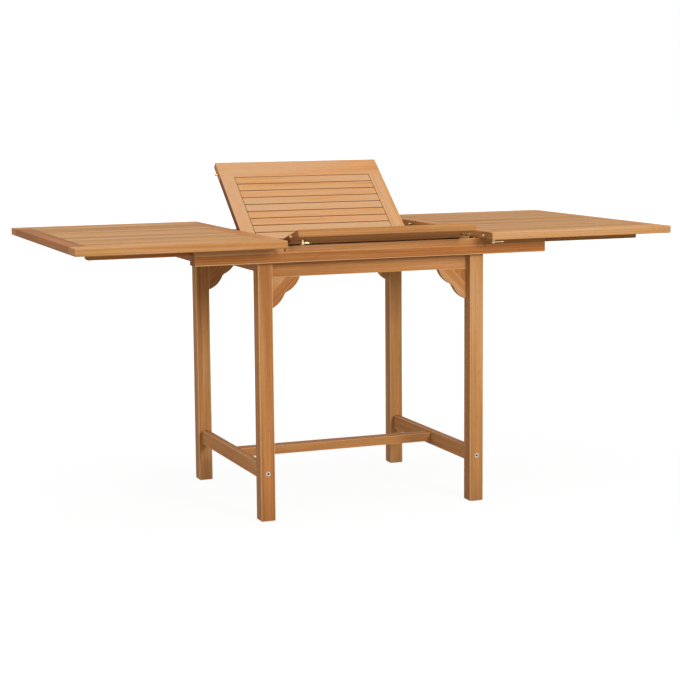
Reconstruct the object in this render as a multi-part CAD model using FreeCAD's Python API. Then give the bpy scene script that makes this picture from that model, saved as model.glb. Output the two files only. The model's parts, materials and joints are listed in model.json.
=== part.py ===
import FreeCAD, Part
import math
import os

# Extending garden table in teak. Two framed tops slide apart on guide rails, and a butterfly leaf
# in two halves swings up between them. Millimetres: X along the table, Y to the back, Z up.
# The origin is on the floor, midway between the legs.
# The leaf is built flat, as it is in use, and then turned to its half-open rest.

# Tops and leaf
TOP_HEIGHT = 750.0
TOP_DEPTH = 800.0
PANEL_LENGTH = 550.0
LEAF_LENGTH = 500.0
BOARD = 20.0
RAIL_WIDTH = 65.0
STILE_WIDTH = 41.0
SPINE_WIDTH = 42.0
PANEL_SLATS = 23
LEAF_SLATS = 10
SLAT_GAP = 2.5
SLAT_EASE = 0.8
EDGE_ROUND = 2.0
TONGUE = 8.0
TONGUE_THICK = 8.0
TENON = 14.0
TENON_SHOULDER = 8.0
TENON_RELIEF = 0.5

# Gaps between the ends of the leaf and the inner edges of the tops: drawn right out, and the left at rest
FULL_GAP = 51.0
LEFT_GAP = 26.0

# Legs, aprons, brackets and stretchers
LEG = 40.0
LEG_SET_IN = 22.0
LEG_ROUND = 2.5
FOOT_EASE = 2.0
LEG_DOWEL_R = 5.0
LEG_DOWEL = 14.0
APRON_DROP = 5.0
APRON_HEIGHT = 36.0
APRON_THICK = 18.0
APRON_TENON_THICK = 8.0
SIDE_APRON_RISE = 14.0
SIDE_APRON_ROOM = 1.0
BRACKET_REACH = 84.0
BRACKET_DROP = 84.0
BRACKET_BULGE = 7.0
BRACKET_NICK_R = 16.0
BRACKET_BLOCK = 44.0
STRETCHER_HEIGHT = 40.0
STRETCHER_THICK = 20.0
STRETCHER_BOTTOM = 108.0
SPREADER_WIDTH = 40.0
SPREADER_HEIGHT = 24.0
SPREADER_BOTTOM = 119.0
WOOD_EASE = 1.5

# Guide rails and runners
GUIDE_LENGTH = 1000.0
GUIDE_SET_IN = 78.0
BEAM_THICK = 44.0
BEAM_HEIGHT = 25.0
BEAM_ROUND = 3.0
STRIP_THICK = 20.0
STRIP_CHAMFER = 4.0
TOP_CLEARANCE = 0.5
STRIP_HEIGHT = 18.5
GROOVE_DEPTH = 8.0
GROOVE_HEIGHT = 6.4
GROOVE_STOP = 4.0
SLIDE_CLEARANCE = 0.3
RUNNER_WIDTH = 24.0
RUNNER_INSET = 5.0
RUNNER_FROM_END = 52.0
RUNNER_SCREW_INSET = 22.0
RUNNER_ROUND = 4.0
CROSS_RAIL_WIDTH = 22.0
CROSS_RAIL_HEIGHT = 14.0
CROSS_RAIL_TENON = 12.0

# Leaf: rest angle of its rear half, gap under its front half, pivot and spine hinges
REAR_TILT = 39.3
LEAF_REST = 0.8
PIVOT_FROM_SPINE = 100.0
PIVOT_BELOW_FACE = 62.0
PIVOT_R = 5.0
PIVOT_CLEARANCE = 0.05
PIVOT_HEAD_R = 9.0
PIVOT_HEAD = 6.0
PIVOT_NUT = 7.0
ARM_FROM_END = 14.0
ARM_THICK = 20.0
ARM_HEIGHT = 22.0
ARM_START = 12.0
ARM_END = 250.0
ARM_SCREW_INSET = 20.0
EAR_R = 20.0
PIVOT_SPACE = 26.0
PIVOT_RAIL_THICK = 20.0
PIVOT_RAIL_ABOVE = 16.0
PIVOT_RAIL_BELOW = 26.0
PIVOT_RAIL_ROOM = 2.0
SPINE_GAP = 0.6
HINGE_RISE = 0.4
HINGE_FROM_END = 80.0
HINGE_WIDTH = 50.0
HINGE_DEPTH = 14.0
HINGE_PLATE = 1.2
KNUCKLES = 3
KNUCKLE_R = 3.0
KNUCKLE_CLEARANCE = 0.3
HINGE_PIN_R = 1.2

# Brass fittings: dowel pins, their bushes, hooks and the pegs that they catch
FITTING_FROM_EDGE = 42.0
MID_PIN = 134.0
PIN_R = 3.0
PIN_NOSE = 1.5
PIN_OUT = 10.0
PIN_IN = 15.0
BUSH_R = 5.0
BUSH_DEPTH = 14.0
PIN_CLEARANCE = 0.3
CLOSE_GAP = 0.5
HOOK_SET_BACK = 24.0
HOOK_PLATE = 2.5
HOOK_HALF_WIDTH = 5.0
HOOK_TIP = 5.0
HOOK_TIP_ROUND = 4.0
HOOK_EYE_R = 7.0
HOOK_STAND = 7.0
PEG_INSET = 6.0
PEG_R = 2.5
PEG_CLEARANCE = 0.4
PEG_LENGTH = 11.5
STRIKER_WIDTH = 14.0
STRIKER_LENGTH = 24.0
STRIKER_PLATE = 2.0
STRIKER_STEP = 1.0
STRIKER_LIP = 1.0
SCREW_R = 2.0
SCREW_HEAD_R = 5.0
SCREW_HEAD = 3.0
SCREW_DOME = 2.4
SCREW_BITE = 12.0

# Bolts of the side stretchers
BOLT_R = 3.0
BOLT_HEAD_R = 6.0
BOLT_HEAD = 6.0
BOLT_SOCKET_R = 2.5
BOLT_SOCKET = 3.0
BOLT_PROUD = 1.0
BOLT_REACH = 34.0
BARREL_R = 5.0
BARREL_LENGTH = 28.0

# Heights and places that follow
UNDERSIDE = TOP_HEIGHT - BOARD
STRIP_TOP = UNDERSIDE - TOP_CLEARANCE
BEAM_TOP = STRIP_TOP - STRIP_HEIGHT
LEG_TOP = BEAM_TOP - BEAM_HEIGHT
APRON_TOP = LEG_TOP - APRON_DROP
APRON_BOTTOM = APRON_TOP - APRON_HEIGHT
SIDE_APRON_BOTTOM = APRON_BOTTOM + SIDE_APRON_RISE
SIDE_APRON_TOP = UNDERSIDE - SIDE_APRON_ROOM
HALF_DEPTH = TOP_DEPTH / 2
HALF_LEAF = LEAF_LENGTH / 2
FULL_OPEN = HALF_LEAF + FULL_GAP
LEFT_OPEN = HALF_LEAF + LEFT_GAP
ARM_OUTER = HALF_LEAF - ARM_FROM_END
ARM_OFFSET = ARM_OUTER - ARM_THICK
PIVOT_RAIL_INNER = ARM_OUTER + PIVOT_SPACE
GUIDE_FRONT = HALF_DEPTH - GUIDE_SET_IN
LEG_OUTER_Y = GUIDE_FRONT - LEG_SET_IN
LEG_X = PIVOT_RAIL_INNER + PIVOT_RAIL_THICK + PIVOT_RAIL_ROOM + LEG / 2
LEG_Y = LEG_OUTER_Y - LEG / 2
LEG_INNER_X = LEG_X - LEG / 2
LEG_INNER_Y = LEG_Y - LEG / 2
APRON_Y = LEG_INNER_Y + APRON_THICK / 2
BEAM_INNER = GUIDE_FRONT - BEAM_THICK
STRIP_INNER = GUIDE_FRONT - STRIP_THICK
RUNNER_OUTER = STRIP_INNER - TOP_CLEARANCE
RUNNER_BOTTOM = BEAM_TOP + SLIDE_CLEARANCE
RUNNER_Y = RUNNER_OUTER - RUNNER_WIDTH / 2
RUNNER_LENGTH = PANEL_LENGTH - RUNNER_INSET - RUNNER_FROM_END
GROOVE_Z = (BEAM_TOP + STRIP_TOP) / 2
GROOVE_END = GUIDE_LENGTH / 2 - GROOVE_STOP
TONGUE_RUN = GROOVE_END - SLIDE_CLEARANCE - FULL_OPEN - RUNNER_INSET
FITTING_Y = HALF_DEPTH - FITTING_FROM_EDGE
MID_BOARD = TOP_HEIGHT - BOARD / 2
PIVOT_Y = PIVOT_FROM_SPINE
PIVOT_Z = TOP_HEIGHT - PIVOT_BELOW_FACE
HINGE_Z = TOP_HEIGHT + HINGE_RISE
HINGE_SPREAD = HALF_LEAF - HINGE_FROM_END
HOOK_TOP = UNDERSIDE - HOOK_STAND
SHORT_REACH = HOOK_SET_BACK - PEG_INSET
LONG_REACH = HOOK_SET_BACK + PEG_INSET + CLOSE_GAP
SPREADER_TENON = STRETCHER_THICK / 2

NEAR = 1e-6
X_AXIS = FreeCAD.Vector(1, 0, 0)
Y_AXIS = FreeCAD.Vector(0, 1, 0)
Z_AXIS = FreeCAD.Vector(0, 0, 1)
SIDES = (("left", -1), ("right", 1))
ENDS = (("front", -1), ("rear", 1))


def point(x, y, z):
    return FreeCAD.Vector(x, y, z)


def box(xs, ys, zs):
    """A block between two values on each axis, given in either order."""
    low = [min(pair) for pair in (xs, ys, zs)]
    size = [abs(pair[1] - pair[0]) for pair in (xs, ys, zs)]
    return Part.makeBox(*size, point(*low))


def rod(radius, start, axis, length):
    """A round bar from a start point along an axis; a negative length runs the other way."""
    direction = axis if length > 0 else axis.negative()
    return Part.makeCylinder(radius, abs(length), start, direction)


def along(edge, axis):
    """Whether a straight edge runs along an axis."""
    return abs(abs(edge.tangentAt(edge.FirstParameter).dot(axis)) - 1) < NEAR


def ease(solid, radius, axis):
    """Round every edge of a bar that runs along one axis."""
    return solid.makeFillet(radius, [edge for edge in solid.Edges if along(edge, axis)])


def ease_outline(solid, xs, ys):
    """Round the edges of a board that lie on the outline of its top, above, below and at corners."""
    picked = []
    for edge in solid.Edges:
        middle = edge.CenterOfMass
        on_x = any(abs(middle.x - x) < NEAR for x in xs)
        on_y = any(abs(middle.y - y) < NEAR for y in ys)
        on_face = abs(abs(middle.z - MID_BOARD) - BOARD / 2) < NEAR
        corner = along(edge, Z_AXIS) and on_x and on_y
        rim = on_face and (on_x or on_y)
        if corner or rim:
            picked.append(edge)
    return solid.makeFillet(EDGE_ROUND, picked)


def save(name, solids):
    """Write one node as its solids."""
    shape = solids[0] if len(solids) == 1 else Part.makeCompound(solids)
    shape.exportStep(os.path.join("parts", name + ".step"))


def framed_top(xs, ys, rails, slat_count, outline_ys):
    """A slatted frame lying flat: two rails along X, two stiles let into them, and slats between.

    xs and ys are the frame's edges, rails the widths of the front and rear rail, and outline_ys
    the front and rear edges that are rounded.
    """
    z_tenon = (MID_BOARD - TONGUE_THICK / 2, MID_BOARD + TONGUE_THICK / 2)
    y_low = ys[0] + rails[0]
    y_high = ys[1] - rails[1]
    rail_solids = []
    for rail_ys in ((ys[0], y_low), (y_high, ys[1])):
        outer = [y for y in rail_ys if y in outline_ys]
        rail_solids.append(ease_outline(box(xs, rail_ys, (UNDERSIDE, TOP_HEIGHT)), xs, outer))
    stile_solids = []
    for edge, inward in ((xs[0], 1), (xs[1], -1)):
        inner = edge + inward * STILE_WIDTH
        stile = ease_outline(box((edge, inner), (y_low, y_high), (UNDERSIDE, TOP_HEIGHT)), [edge], [])
        groove = box((inner, inner - inward * (TONGUE + TENON_RELIEF)), (y_low, y_high), z_tenon)
        stile = stile.cut(groove)
        tenon_xs = (edge + inward * TENON_SHOULDER, inner - inward * (TONGUE + TENON_SHOULDER))
        for index, (y, outward) in enumerate(((y_low, -1), (y_high, 1))):
            stile = stile.fuse(box(tenon_xs, (y, y + outward * TENON), z_tenon))
            mortise = box(tenon_xs, (y, y + outward * (TENON + TENON_RELIEF)), z_tenon)
            rail_solids[index] = rail_solids[index].cut(mortise)
        stile_solids.append(stile.removeSplitter())
    slat_xs = (xs[0] + STILE_WIDTH, xs[1] - STILE_WIDTH)
    width = (y_high - y_low - (slat_count + 1) * SLAT_GAP) / slat_count
    slat_solids = []
    for index in range(slat_count):
        y = y_low + SLAT_GAP + index * (width + SLAT_GAP)
        slat = box(slat_xs, (y, y + width), (UNDERSIDE, TOP_HEIGHT))
        slat = slat.makeChamfer(SLAT_EASE, [edge for edge in slat.Edges if along(edge, X_AXIS)])
        tongue_xs = (slat_xs[0] - TONGUE, slat_xs[1] + TONGUE)
        slat_solids.append(slat.fuse(box(tongue_xs, (y, y + width), z_tenon)).removeSplitter())
    return {"rails": rail_solids, "stiles": stile_solids, "slats": slat_solids}


def drill(solids, tools):
    """Cut the same tools out of each solid of a list."""
    return [solid.cut(tools) for solid in solids]


def dowel_pin(x, y):
    """A round-nosed brass pin that stands out of an inner edge towards -X."""
    pin = rod(PIN_R, point(x + PIN_IN, y, MID_BOARD), X_AXIS, -(PIN_IN + PIN_OUT))
    nose = [edge for edge in pin.Edges if abs(edge.CenterOfMass.x - (x - PIN_OUT)) < NEAR]
    return pin.makeFillet(PIN_NOSE, nose)


def pin_hole(x, y):
    return rod(PIN_R, point(x, y, MID_BOARD), X_AXIS, PIN_IN)


def bush(x, y):
    """A brass tube let into an edge that faces +X."""
    tube = rod(BUSH_R, point(x, y, MID_BOARD), X_AXIS, -BUSH_DEPTH)
    return tube.cut(rod(PIN_R + PIN_CLEARANCE, point(x, y, MID_BOARD), X_AXIS, -BUSH_DEPTH))


def bush_hole(x, y):
    return rod(BUSH_R, point(x, y, MID_BOARD), X_AXIS, -BUSH_DEPTH)


def hook(x, y, reach, mouth):
    """A flat swivel hook on its screw at (x, y), parked along +X with its mouth to one side of Y."""
    z_plate = HOOK_TOP - HOOK_PLATE
    tip = reach + HOOK_TIP
    plate = box((x, x + tip), (y - HOOK_HALF_WIDTH, y + HOOK_HALF_WIDTH), (z_plate, HOOK_TOP))
    corners = [e for e in plate.Edges if along(e, Z_AXIS) and e.CenterOfMass.x > x + reach]
    plate = plate.makeFillet(HOOK_TIP_ROUND, corners)
    plate = plate.fuse(rod(HOOK_EYE_R, point(x, y, z_plate), Z_AXIS, HOOK_PLATE))
    post = rod(SCREW_HEAD_R, point(x, y, HOOK_TOP), Z_AXIS, HOOK_STAND - SLIDE_CLEARANCE)
    bite_r = PEG_R + PEG_CLEARANCE
    bite = rod(bite_r, point(x + reach, y, z_plate), Z_AXIS, HOOK_PLATE)
    way_in = box((x + reach - bite_r, x + reach + bite_r),
                 (y, y + mouth * HOOK_EYE_R), (z_plate, HOOK_TOP))
    bore = rod(SCREW_R + PIVOT_CLEARANCE, point(x, y, z_plate), Z_AXIS, HOOK_PLATE + HOOK_STAND)
    return plate.fuse(post).cut([bite, way_in, bore]).removeSplitter()


def hook_screw(x, y):
    """The domed screw that a hook swivels on, driven up into the board."""
    z_head = HOOK_TOP - HOOK_PLATE - SLIDE_CLEARANCE
    head = rod(SCREW_HEAD_R, point(x, y, z_head - SCREW_HEAD), Z_AXIS, SCREW_HEAD)
    rim = [edge for edge in head.Edges if abs(edge.CenterOfMass.z - (z_head - SCREW_HEAD)) < NEAR]
    head = head.makeFillet(SCREW_DOME, rim)
    return head.fuse(rod(SCREW_R, point(x, y, z_head), Z_AXIS, UNDERSIDE + SCREW_BITE - z_head))


def screw_hole(x, y):
    return rod(SCREW_R, point(x, y, UNDERSIDE), Z_AXIS, SCREW_BITE)


def peg(x, y, z_top):
    return rod(PEG_R, point(x, y, UNDERSIDE - PEG_LENGTH), Z_AXIS, z_top - UNDERSIDE + PEG_LENGTH)


def panel_striker(edge, y):
    """The stepped brass strap under the left top, with its peg out past the inner edge."""
    ys = (y - STRIKER_WIDTH / 2, y + STRIKER_WIDTH / 2)
    z_base = UNDERSIDE - STRIKER_PLATE
    z_strap = UNDERSIDE - STRIKER_STEP
    peg_x = edge + PEG_INSET + CLOSE_GAP
    base = box((edge - STRIKER_LENGTH, edge), ys, (z_base, UNDERSIDE))
    strap_xs = (edge - STRIKER_WIDTH / 2, peg_x + PEG_R + STRIKER_LIP)
    strap = box(strap_xs, ys, (z_strap - STRIKER_PLATE, z_strap))
    return base.fuse([strap, peg(peg_x, y, z_strap)]).removeSplitter()


def leaf_striker(y):
    """The brass plate under the right end of a leaf half, with its peg near the edge."""
    ys = (y - STRIKER_WIDTH / 2, y + STRIKER_WIDTH / 2)
    plate = box((HALF_LEAF - CLOSE_GAP - STRIKER_LENGTH, HALF_LEAF - CLOSE_GAP), ys,
                (UNDERSIDE - STRIKER_PLATE, UNDERSIDE))
    return plate.fuse(peg(HALF_LEAF - PEG_INSET, y, UNDERSIDE)).removeSplitter()


def runner(edge, outward, end):
    """The batten under one side of a top that slides on the guide beam, tongue in the strip's groove."""
    start = edge + outward * RUNNER_INSET
    stop = start + outward * RUNNER_LENGTH
    face = end * RUNNER_OUTER
    bar = box((start, stop), (face, face - end * RUNNER_WIDTH), (RUNNER_BOTTOM, UNDERSIDE))
    toe = [e for e in bar.Edges if along(e, Y_AXIS) and abs(e.CenterOfMass.x - stop) < NEAR
           and e.CenterOfMass.z < GROOVE_Z]
    bar = bar.makeFillet(RUNNER_ROUND, toe)
    half = GROOVE_HEIGHT / 2 - SLIDE_CLEARANCE
    tongue = box((start, start + outward * TONGUE_RUN), (face, face + end * GROOVE_DEPTH),
                 (GROOVE_Z - half, GROOVE_Z + half))
    return bar.fuse(tongue).removeSplitter()


def runner_screw(x, y):
    """A flush screw up through a runner into a stile."""
    seat = RUNNER_BOTTOM + SLIDE_CLEARANCE
    head = rod(SCREW_HEAD_R, point(x, y, seat), Z_AXIS, SCREW_HEAD)
    return head.fuse(rod(SCREW_R, point(x, y, seat), Z_AXIS, UNDERSIDE + SCREW_BITE - seat))


def screw_room(x, y, z_low, seat):
    """The hole that a flush screw fills, open below its head."""
    head = rod(SCREW_HEAD_R, point(x, y, z_low), Z_AXIS, seat + SCREW_HEAD - z_low)
    return head.fuse(rod(SCREW_R, point(x, y, seat), Z_AXIS, UNDERSIDE + SCREW_BITE - seat))


def make_legs():
    """Square legs with rounded edges and eased feet, each with a round tenon up into the guide beam."""
    for side, sx in SIDES:
        for end, sy in ENDS:
            xs = (sx * (LEG_X - LEG / 2), sx * (LEG_X + LEG / 2))
            ys = (sy * (LEG_Y - LEG / 2), sy * (LEG_Y + LEG / 2))
            leg = ease(box(xs, ys, (0, LEG_TOP)), LEG_ROUND, Z_AXIS)
            leg = leg.makeChamfer(FOOT_EASE, [edge for edge in leg.Edges if edge.CenterOfMass.z < NEAR])
            leg = leg.fuse(leg_dowel(sx, sy))
            leg = leg.cut([apron_tenon_x(sx, sy), apron_tenon_y(sx, sy), stretcher_bolt_room(sx, sy)])
            save("leg_%s_%s" % (end, side), [leg.removeSplitter()])


def leg_dowel(sx, sy):
    y = sy * (LEG_OUTER_Y + BEAM_INNER) / 2
    return rod(LEG_DOWEL_R, point(sx * LEG_X, y, LEG_TOP), Z_AXIS, LEG_DOWEL)


def apron_tenon_x(sx, sy):
    """The tenon of a front or rear apron in one leg."""
    half = APRON_TENON_THICK / 2
    xs = (sx * LEG_INNER_X, sx * (LEG_INNER_X + TENON))
    zs = (APRON_BOTTOM + TENON_SHOULDER, APRON_TOP - TENON_SHOULDER)
    return box(xs, (sy * APRON_Y - half, sy * APRON_Y + half), zs)


def apron_tenon_y(sx, sy):
    """The tenon of a side apron in one leg."""
    half = APRON_TENON_THICK / 2
    ys = (sy * LEG_INNER_Y, sy * (LEG_INNER_Y + TENON))
    zs = (SIDE_APRON_BOTTOM + TENON_SHOULDER, LEG_TOP - TENON_SHOULDER)
    return box((sx * LEG_X - half, sx * LEG_X + half), ys, zs)


def pivot_rail_tenon(sx, sy):
    xs = (sx * PIVOT_RAIL_INNER, sx * (PIVOT_RAIL_INNER + PIVOT_RAIL_THICK))
    ys = (sy * LEG_INNER_Y, sy * (LEG_INNER_Y + APRON_TENON_THICK))
    return box(xs, ys, (PIVOT_Z - PIVOT_RAIL_BELOW, APRON_TOP - TENON_SHOULDER))


def make_aprons():
    """Aprons: front and rear flush with the legs' inner faces, the sides on the legs' middle."""
    zs = (APRON_BOTTOM, APRON_TOP)
    half = APRON_THICK / 2
    for end, sy in ENDS:
        apron = box((-LEG_INNER_X, LEG_INNER_X), (sy * APRON_Y - half, sy * APRON_Y + half), zs)
        apron = ease(apron, WOOD_EASE, X_AXIS).fuse([apron_tenon_x(sx, sy) for _, sx in SIDES])
        apron = apron.cut([pivot_rail_tenon(sx, sy) for _, sx in SIDES])
        save("apron_" + end, [apron.removeSplitter()])
    for side, sx in SIDES:
        apron = box((sx * LEG_X - half, sx * LEG_X + half), (-LEG_INNER_Y, LEG_INNER_Y),
                    (SIDE_APRON_BOTTOM, SIDE_APRON_TOP))
        apron = ease(apron, WOOD_EASE, Y_AXIS).fuse([apron_tenon_y(sx, sy) for _, sy in ENDS])
        save("apron_" + side, [apron.removeSplitter()])


def bracket_outline(sx):
    """Points of a bracket in the plane of its apron: root corner, lobed edge from tip to toe."""
    root = (LEG_INNER_X, APRON_BOTTOM)
    tip = (LEG_INNER_X - BRACKET_REACH, APRON_BOTTOM)
    toe = (LEG_INNER_X, APRON_BOTTOM - BRACKET_DROP)
    nick = ((tip[0] + toe[0]) / 2, (tip[1] + toe[1]) / 2)
    slope = math.hypot(BRACKET_REACH, BRACKET_DROP)
    out = (-BRACKET_DROP / slope * BRACKET_BULGE, -BRACKET_REACH / slope * BRACKET_BULGE)
    lobes = [((a[0] + b[0]) / 2 + out[0], (a[1] + b[1]) / 2 + out[1])
             for a, b in ((tip, nick), (nick, toe))]
    names = ("root", "tip", "upper", "nick", "lower", "toe")
    places = (root, tip, lobes[0], nick, lobes[1], toe)
    return {name: point(sx * place[0], 0, place[1]) for name, place in zip(names, places)}


def make_brackets():
    """Corner brackets under the front and rear aprons: a lobed board and a corner block behind it."""
    for side, sx in SIDES:
        p = bracket_outline(sx)
        face = Part.Face(Part.Wire([
            Part.makeLine(p["root"], p["tip"]),
            Part.Arc(p["tip"], p["upper"], p["nick"]).toShape(),
            Part.Arc(p["nick"], p["lower"], p["toe"]).toShape(),
            Part.makeLine(p["toe"], p["root"])]))
        block_x = p["root"] - X_AXIS * sx * BRACKET_BLOCK
        block_z = p["root"] - Z_AXIS * BRACKET_BLOCK
        corner = Part.Face(Part.makePolygon([p["root"], block_x, block_z, p["root"]]))
        for end, sy in ENDS:
            start = point(0, sy * APRON_Y - APRON_THICK / 2, 0)
            whole = face.extrude(Y_AXIS * APRON_THICK)
            nick = [edge for edge in whole.Edges
                    if along(edge, Y_AXIS) and abs(edge.CenterOfMass.x - p["nick"].x) < NEAR]
            whole = whole.makeFillet(BRACKET_NICK_R, nick)
            block = corner.extrude(Y_AXIS * APRON_THICK)
            pieces = [whole.cut(block), block]
            for piece in pieces:
                piece.translate(start)
            save("bracket_%s_%s" % (end, side), pieces)


def stretcher_bolt(sx, sy):
    """A socket-head bolt through a leg into the stretcher's end, and its barrel nut."""
    z = STRETCHER_BOTTOM + STRETCHER_HEIGHT / 2
    face = LEG_OUTER_Y + BOLT_PROUD
    head = rod(BOLT_HEAD_R, point(sx * LEG_X, sy * face, z), Y_AXIS, -sy * BOLT_HEAD)
    tip = LEG_INNER_Y - BOLT_REACH
    shank = rod(BOLT_R, point(sx * LEG_X, sy * tip, z), Y_AXIS, sy * (face - BOLT_HEAD - tip))
    socket = rod(BOLT_SOCKET_R, point(sx * LEG_X, sy * face, z), Y_AXIS, -sy * BOLT_SOCKET)
    bolt = head.fuse(shank).cut(socket)
    return bolt, barrel_nut(sx, sy).cut(shank)


def barrel_nut(sx, sy):
    """The upright nut that takes a bolt's tip, let into the stretcher from below."""
    y = sy * (LEG_INNER_Y - BOLT_REACH + BARREL_R)
    return rod(BARREL_R, point(sx * LEG_X, y, STRETCHER_BOTTOM), Z_AXIS, BARREL_LENGTH)


def stretcher_bolt_room(sx, sy):
    """The hole that a bolt fills, from the leg's face to the bolt's tip."""
    z = STRETCHER_BOTTOM + STRETCHER_HEIGHT / 2
    face = LEG_OUTER_Y + BOLT_PROUD
    tip = LEG_INNER_Y - BOLT_REACH
    head = rod(BOLT_HEAD_R, point(sx * LEG_X, sy * face, z), Y_AXIS, -sy * BOLT_HEAD)
    return head.fuse(rod(BOLT_R, point(sx * LEG_X, sy * tip, z), Y_AXIS, sy * (face - BOLT_HEAD - tip)))


def make_stretchers():
    """Side stretchers between the legs, the long spreader tenoned into them, and their bolts."""
    zs = (STRETCHER_BOTTOM, STRETCHER_BOTTOM + STRETCHER_HEIGHT)
    half = STRETCHER_THICK / 2
    z_spreader = (SPREADER_BOTTOM, SPREADER_BOTTOM + SPREADER_HEIGHT)
    y_tenon = (-SPREADER_WIDTH / 2 + TENON_SHOULDER, SPREADER_WIDTH / 2 - TENON_SHOULDER)
    reach = LEG_X - half
    spreader = ease(box((-reach, reach), (-SPREADER_WIDTH / 2, SPREADER_WIDTH / 2), z_spreader),
                    WOOD_EASE, X_AXIS)
    hardware = []
    for side, sx in SIDES:
        tenon = box((sx * reach, sx * (reach + SPREADER_TENON)), y_tenon, z_spreader)
        spreader = spreader.fuse(tenon)
        bar = ease(box((sx * LEG_X - half, sx * LEG_X + half), (-LEG_INNER_Y, LEG_INNER_Y), zs),
                   WOOD_EASE, Y_AXIS)
        tools = [tenon]
        for _, sy in ENDS:
            bolt, nut = stretcher_bolt(sx, sy)
            hardware += [bolt, nut]
            tools += [stretcher_bolt_room(sx, sy), barrel_nut(sx, sy)]
        save("side_stretcher_" + side, [bar.cut(tools)])
    save("centre_stretcher", [spreader.removeSplitter()])
    save("stretcher_bolts", hardware)


def make_guides():
    """Front and rear guide rails, each a beam with a grooved strip on it, tied by end cross rails."""
    half = GUIDE_LENGTH / 2
    z_cross = (BEAM_TOP - SLIDE_CLEARANCE - CROSS_RAIL_HEIGHT, BEAM_TOP - SLIDE_CLEARANCE)
    cross_xs = {side: (sx * half, sx * (half - CROSS_RAIL_WIDTH)) for side, sx in SIDES}
    for end, sy in ENDS:
        beam = box((-half, half), (sy * GUIDE_FRONT, sy * BEAM_INNER), (LEG_TOP, BEAM_TOP))
        lower = [e for e in beam.Edges if along(e, X_AXIS) and abs(e.CenterOfMass.z - LEG_TOP) < NEAR]
        beam = beam.makeFillet(BEAM_ROUND, lower)
        tools = [leg_dowel(sx, sy) for _, sx in SIDES]
        y_cross = (sy * BEAM_INNER, sy * (BEAM_INNER + CROSS_RAIL_TENON))
        tools += [box(cross_xs[side], y_cross, z_cross) for side, _ in SIDES]
        save("guide_beam_" + end, [beam.cut(tools)])
        strip = box((-half, half), (sy * GUIDE_FRONT, sy * STRIP_INNER), (BEAM_TOP, STRIP_TOP))
        upper = [e for e in strip.Edges if along(e, X_AXIS) and abs(e.CenterOfMass.z - STRIP_TOP) < NEAR
                 and abs(abs(e.CenterOfMass.y) - STRIP_INNER) < NEAR]
        strip = strip.makeChamfer(STRIP_CHAMFER, upper)
        groove = box((-GROOVE_END, GROOVE_END),
                     (sy * STRIP_INNER, sy * (STRIP_INNER + GROOVE_DEPTH)),
                     (GROOVE_Z - GROOVE_HEIGHT / 2, GROOVE_Z + GROOVE_HEIGHT / 2))
        save("guide_strip_" + end, [strip.cut(groove)])
    for side, _ in SIDES:
        reach = BEAM_INNER + CROSS_RAIL_TENON
        save("end_cross_rail_" + side, [box(cross_xs[side], (-reach, reach), z_cross)])


def make_pivot_rails():
    """The rails between the aprons that carry the leaf's two pivot bolts, and the bolts."""
    hardware = []
    for side, sx in SIDES:
        xs = (sx * PIVOT_RAIL_INNER, sx * (PIVOT_RAIL_INNER + PIVOT_RAIL_THICK))
        zs = (PIVOT_Z - PIVOT_RAIL_BELOW, PIVOT_Z + PIVOT_RAIL_ABOVE)
        rail = box(xs, (-LEG_INNER_Y, LEG_INNER_Y), zs)
        rail = rail.fuse([pivot_rail_tenon(sx, sy) for _, sy in ENDS])
        inner = ARM_OFFSET - SLIDE_CLEARANCE - PIVOT_HEAD
        outer = PIVOT_RAIL_INNER + PIVOT_RAIL_THICK + PIVOT_NUT
        shank = rod(PIVOT_R, point(sx * inner, PIVOT_Y, PIVOT_Z), X_AXIS, sx * (outer - inner))
        head = rod(PIVOT_HEAD_R, point(sx * inner, PIVOT_Y, PIVOT_Z), X_AXIS, sx * PIVOT_HEAD)
        spacer_start = ARM_OUTER + SLIDE_CLEARANCE
        spacer = rod(PIVOT_HEAD_R, point(sx * spacer_start, PIVOT_Y, PIVOT_Z), X_AXIS,
                     sx * (PIVOT_RAIL_INNER - spacer_start))
        nut = rod(PIVOT_HEAD_R, point(sx * (outer - PIVOT_NUT), PIVOT_Y, PIVOT_Z), X_AXIS, sx * PIVOT_NUT)
        hardware += [head.fuse(shank), spacer.cut(shank), nut.cut(shank)]
        save("leaf_pivot_rail_" + side, [rail.cut(shank).removeSplitter()])
    save("leaf_pivot_bolts", hardware)


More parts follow.
